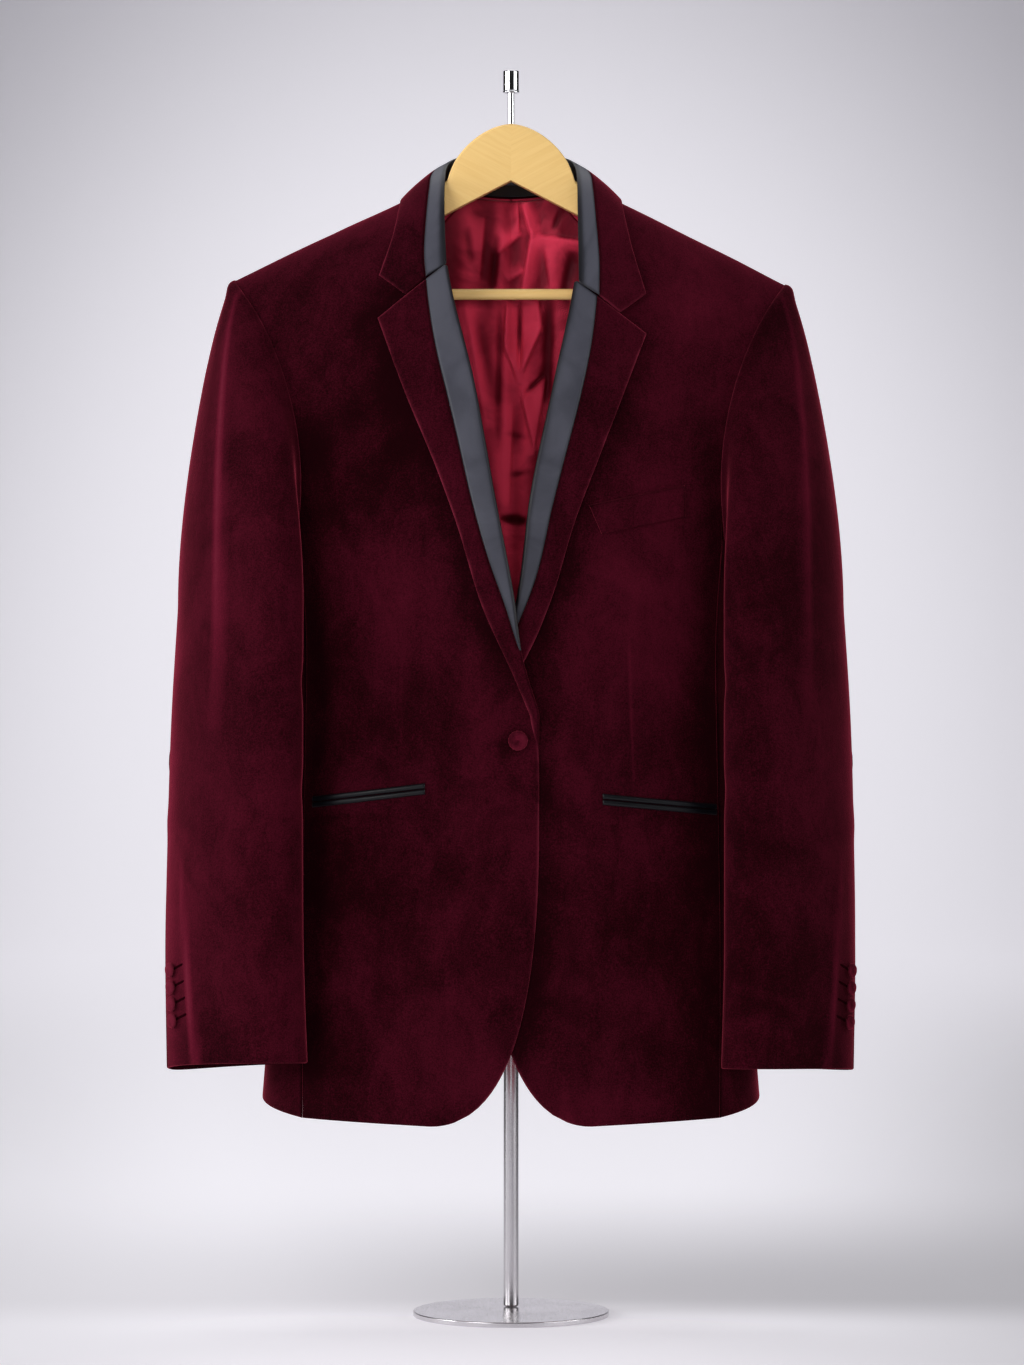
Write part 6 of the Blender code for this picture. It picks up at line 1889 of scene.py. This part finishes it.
class JACKET_OT_hanger(bpy.types.Operator):
    """Makes the two wooden halves of the hanger, its trouser bar and its shank"""
    bl_idname = "jacket.hanger"
    bl_label = "Hanger"

    def execute(self, context):
        settings = context.scene.jacket_stand
        for side, word in SIDES.items():
            points = hanger_rings(side)
            faces = capped_rings(points)
            if side > 0:
                faces = [block[:, ::-1] for block in faces]
            wood = kept("hanger_wood_" + word, wood_material, side * settings.grain_slope, settings.wood)
            half = make_object("hanger_half_" + word, points, faces, [wood])
            half.data.set_sharp_from_angle(angle=math.radians(60))
            dress(half, ["hanger_" + word])
        low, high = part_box("trouser_bar")
        centre = [(first + last) / 2 for first, last in zip(low, high)]
        reach = (high[0] - low[0]) / 2
        # A lighter copy of the wood, painted light for the shaded bar
        plain = kept("bar_wood", wood_material, 0.0, [BAR_LIGHT * value for value in settings.wood])
        profile = rounded((high[2] - low[2]) / 2, -reach, reach, BAR_BEVEL)
        dress(turned("hanger_bar", profile, plain, centre, "X"), ["trouser_bar"])
        upright("hanger_shank_rod", "hanger_shank", chrome(context), SHANK_BEVEL, HANGER_Y)
        return {"FINISHED"}


POLE_Y = 0.022
POLE_BEVEL = 0.0018
PLATE_BEVEL = 0.0008
PLATE_LIGHT = 1.14
ROD_BEND = 0.018
SOCKET_BORE = {"radius": 0.00295, "depth": 0.009}
SOCKET_RIM = {"height": 0.0012, "inset": 0.0004, "bevel": 0.0003}
SOCKET_BEVEL = 0.0007


def rod_rings(radius, low, height, front, around=32):
    """Rings of points along the rod that rises from the pole and bends forward."""
    bend = np.radians(np.linspace(0, 90, 22))
    y = np.concatenate([[POLE_Y], POLE_Y - ROD_BEND * (1 - np.cos(bend)), [front]])
    z = np.concatenate([[low], height - ROD_BEND * (1 - np.sin(bend)), [height]])
    turn = np.concatenate([[0.0], bend, [math.pi / 2]])[:, None]
    angle = round_angles(around)
    out = radius * np.sin(angle)
    return stack(radius * np.cos(angle) + 0 * turn, y[:, None] + out * np.cos(turn),
                 z[:, None] + out * np.sin(turn))


class JACKET_OT_stand(bpy.types.Operator):
    """Makes the base plate, the pole, the bent rod and the socket"""
    bl_idname = "jacket.stand"
    bl_label = "Stand"

    def execute(self, context):
        settings = context.scene.jacket_stand
        steel = kept("brushed_steel", metal_material, settings.steel, 0.25, 0.05, (1.0, 1.0, 0.012))
        light = [PLATE_LIGHT * value for value in settings.steel]
        plate = kept("plate_steel", metal_material, light, 0.26, 0.05, (1.0, 0.02, 1.0))
        upright("base_plate", "stand_base", plate, PLATE_BEVEL, 0.0, around=192)
        upright("pole_tube", "stand_pole", steel, POLE_BEVEL, POLE_Y)
        (left, _, foot), (right, _, head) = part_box("stand_socket")
        low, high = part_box("stand_rod")
        points = rod_rings((high[0] - low[0]) / 2, low[2], 0.5 * (foot + head), low[1])
        rod = make_object("neck_rod", points, capped_rings(points), [chrome(context)], moved=False)
        dress(rod, ["stand_rod"])
        radius = (right - left) / 2
        rim = foot + SOCKET_RIM["height"]
        cup = [(SOCKET_BORE["radius"], foot + SOCKET_BORE["depth"]), (SOCKET_BORE["radius"], foot)]
        cup += rounded(radius, foot, rim, SOCKET_RIM["bevel"])
        cup += rounded(radius - SOCKET_RIM["inset"], rim, head, SOCKET_BEVEL)[BEVEL_POINTS + 1:]
        socket = turned("shank_socket", cup, chrome(context), (0.0, HANGER_Y, 0.0))
        dress(socket, ["stand_socket"])
        return {"FINISHED"}


# Stage


def paper_material(settings):
    """Pale studio paper with painted light: it glows behind the jacket, fading away from the middle, with
    painted shadow on the floor about the stand.
    """
    material, tree, shader = new_material("studio_paper", Roughness=0.75, Specular_IOR_Level=0.2)
    place = object_place(tree)
    x, y, z = add(tree, "ShaderNodeSeparateXYZ", {0: place}).outputs
    # Painted light: the paper glows a little all round, most behind the jacket, and on the floor in front of
    # the stand
    wall = ranged(tree, z, 0.1, 2.4, 0.0, settings.wall_glow)
    flat = stretched(tree, place, (1.0, 0.0, 0.8))
    aim = {0: flat, 1: (0.0, 0.0, 0.45)}
    off = add(tree, "ShaderNodeVectorMath", aim, operation="DISTANCE").outputs["Value"]
    middle = times(tree, ranged(tree, off, 0.7, 2.28, settings.middle_glow, 0.0), ranged(tree, y, -5.0, 6.0))
    middle = times(tree, middle, ranged(tree, x, -1.5, 2.0, 1.04, 0.92))
    front = times(tree, ranged(tree, y, -0.6, 0.5, 0.13, 0.0), ranged(tree, x, -0.5, -0.1, 0.3, 1.0))
    glow = plus(tree, plus(tree, wall, middle), front)
    # Painted shadow on the floor: a band behind the stand, and darker floor to its right and to its left
    band = math_node(tree, "MINIMUM", ranged(tree, x, -0.45, 0.12, 0.1, 0.42),
                     ranged(tree, x, 0.12, 0.55, 0.42, 0.14))
    behind = times(tree, ranged(tree, y, -0.08, 0.12), ranged(tree, y, 0.1, 1.1, 1.0, 0.0))
    away = times(tree, y, 0.1)
    right = ranged(tree, math_node(tree, "SUBTRACT", x, away), 0.06, 0.6, 0.0, 0.42)
    left = ranged(tree, plus(tree, x, away), -0.5, -0.15, 0.2, 0.0)
    aside = times(tree, plus(tree, right, left), ranged(tree, y, 1.2, 5.5, 1.0, 0.0))
    dark = plus(tree, times(tree, behind, band), aside, clamp=True)
    tone = mixed(tree, dark, solid(settings.floor), solid(ORIGIN))
    feed(tree, shader.inputs, {"Base Color": tone, "Emission Color": tone, "Emission Strength": glow})
    return material


PAPER = {"first": 0.02, "flat": 5.4, "bend_from": 5.5, "bend": 3.5, "wall": (5.0, 9.0)}


def paper_bowl(paper, around=96):
    """A round floor that bends up into a wall all round."""
    flat = np.linspace(PAPER["first"], PAPER["flat"], 20)
    bend = np.linspace(0, math.pi / 2, 25)
    outward = PAPER["bend_from"] + PAPER["bend"] * np.sin(bend)
    radius = np.concatenate([flat, outward, outward[-1:], outward[-1:]])[:, None]
    height = np.concatenate([0 * flat, PAPER["bend"] * (1 - np.cos(bend)), PAPER["wall"]])[:, None]
    angle = round_angles(around)
    points = stack(radius * np.cos(angle), radius * np.sin(angle), height + 0 * angle)
    points = np.concatenate([points.reshape(-1, 3), [ORIGIN]])
    here = np.arange(around)
    middle = np.stack([np.full(around, len(points) - 1), here, np.roll(here, -1)], axis=-1)
    faces = [ring_quads(len(radius), around)[:, ::-1], middle]
    make_object("studio_floor", points, faces, [paper], moved=False)


LIGHT_AIM = (0.0, 0.0, 0.6)
CARD_HEIGHT = 2.6
CAMERA = {"lens": 128.9, "sensor_width": 36.0, "x": 0.0008}


def lamps(scene, settings):
    """The lights, each with its place, size and power."""
    key = settings.key_power
    table = (("key_light", (-2.4, -3.0, 1.5), 1.8, key),
             ("fill_light", (0.1, -4.6, 1.05), 0.9, key),
             ("left_light", (-2.8, -0.3, 0.9), 1.0, 0.85 * key),
             ("right_light", (2.8, -0.3, 0.9), 1.0, 0.38 * key),
             ("top_light", (0.0, 0.7, 3.2), 2.0, settings.top_power))
    for name, place, size, power in table:
        light = bpy.data.lights.new(name, "AREA")
        light.size = size
        light.energy = power
        lamp = bpy.data.objects.new(name, light)
        scene.collection.objects.link(lamp)
        lamp.location = place
        lamp.rotation_euler = (Vector(LIGHT_AIM) - Vector(place)).to_track_quat("-Z", "Y").to_euler()
        lamp.visible_camera = False
        lamp.visible_glossy = name != "fill_light"


def cards():
    """Upright cards that show only in reflections, each with the two ends of its foot."""
    dark, _, _ = new_material("dark_card", Base_Color=(0.02, 0.02, 0.02, 1.0), Roughness=1.0)
    pale, _, _ = new_material("pale_card", Emission_Color=(1.0, 1.0, 1.0, 1.0), Emission_Strength=1.0)
    table = (("dark_card_left", (-1.0, -0.1), (-1.15, 1.5), dark),
             ("dark_card_right", (1.0, -0.1), (1.15, 1.9), dark),
             ("dark_card_front", (-3.4, -5.0), (3.4, -5.0), dark),
             ("pale_card", (2.3, -2.6), (2.7, -1.0), pale))
    for name, near, far, face in table:
        corners = [(*near, 0.0), (*far, 0.0), (*far, CARD_HEIGHT), (*near, CARD_HEIGHT)]
        card = make_object(name, corners, [np.array([(0, 1, 2, 3)])], [face], moved=False)
        card.visible_camera = False
        card.visible_diffuse = False
        card.visible_shadow = False


def photo_camera(scene, settings):
    """The level camera in front of the jacket."""
    camera = bpy.data.cameras.new("photo_camera")
    camera.lens = CAMERA["lens"]
    camera.sensor_width = CAMERA["sensor_width"]
    viewer = bpy.data.objects.new("photo_camera", camera)
    scene.collection.objects.link(viewer)
    viewer.location = (CAMERA["x"], HANGER_Y - settings.camera_distance, settings.camera_height)
    viewer.rotation_euler = (math.radians(90), 0.0, 0.0)
    scene.camera = viewer


class JACKET_OT_stage(bpy.types.Operator):
    """Sets up the pale studio, its lights and the camera"""
    bl_idname = "jacket.stage"
    bl_label = "Studio"

    def execute(self, context):
        scene = context.scene
        settings = scene.jacket_stage
        paper_bowl(paper_material(settings))
        lamps(scene, settings)
        cards()
        world = bpy.data.worlds.new("studio_air")
        world.use_nodes = True
        air = world.node_tree.nodes["Background"].inputs
        air["Color"].default_value = (0.86, 0.86, 0.9, 1.0)
        air["Strength"].default_value = settings.air
        scene.world = world
        scene.view_settings.view_transform = "Standard"
        photo_camera(scene, settings)
        return {"FINISHED"}


# Panel and start


STEPS = (JACKET_OT_body, JACKET_OT_sleeves, JACKET_OT_lapels, JACKET_OT_collar, JACKET_OT_pockets,
         JACKET_OT_buttons, JACKET_OT_lining, JACKET_OT_hanger, JACKET_OT_stand, JACKET_OT_stage)
SETTINGS = {"jacket_cloth": JacketClothSettings, "jacket_stand": JacketStandSettings,
            "jacket_stage": JacketStageSettings}


class JACKET_PT_build(bpy.types.Panel):
    """Lists the settings and the steps of the jacket"""
    bl_idname = "JACKET_PT_build"
    bl_label = "Velvet jacket"
    bl_space_type = "VIEW_3D"
    bl_region_type = "UI"
    bl_category = "Jacket"

    def draw(self, context):
        for name, group in SETTINGS.items():
            box = self.layout.box()
            for setting in group.__annotations__:
                box.prop(getattr(context.scene, name), setting)
        for step in STEPS:
            self.layout.operator(step.bl_idname)


def register():
    """Registers the settings, the steps and the panel."""
    for group in SETTINGS.values():
        bpy.utils.register_class(group)
    for name, group in SETTINGS.items():
        setattr(bpy.types.Scene, name, PointerProperty(type=group))
    for step in STEPS + (JACKET_PT_build,):
        bpy.utils.register_class(step)


def unregister():
    """Takes the panel, the steps and the settings away again."""
    for step in (JACKET_PT_build,) + STEPS[::-1]:
        bpy.utils.unregister_class(step)
    for name, group in SETTINGS.items():
        delattr(bpy.types.Scene, name)
        bpy.utils.unregister_class(group)


def main():
    """Builds every piece in order."""
    register()
    bpy.ops.jacket.body()
    bpy.ops.jacket.sleeves()
    bpy.ops.jacket.lapels()
    bpy.ops.jacket.collar()
    bpy.ops.jacket.pockets()
    bpy.ops.jacket.buttons()
    bpy.ops.jacket.lining()
    bpy.ops.jacket.hanger()
    bpy.ops.jacket.stand()
    bpy.ops.jacket.stage()


if __name__ == "__main__":
    main()
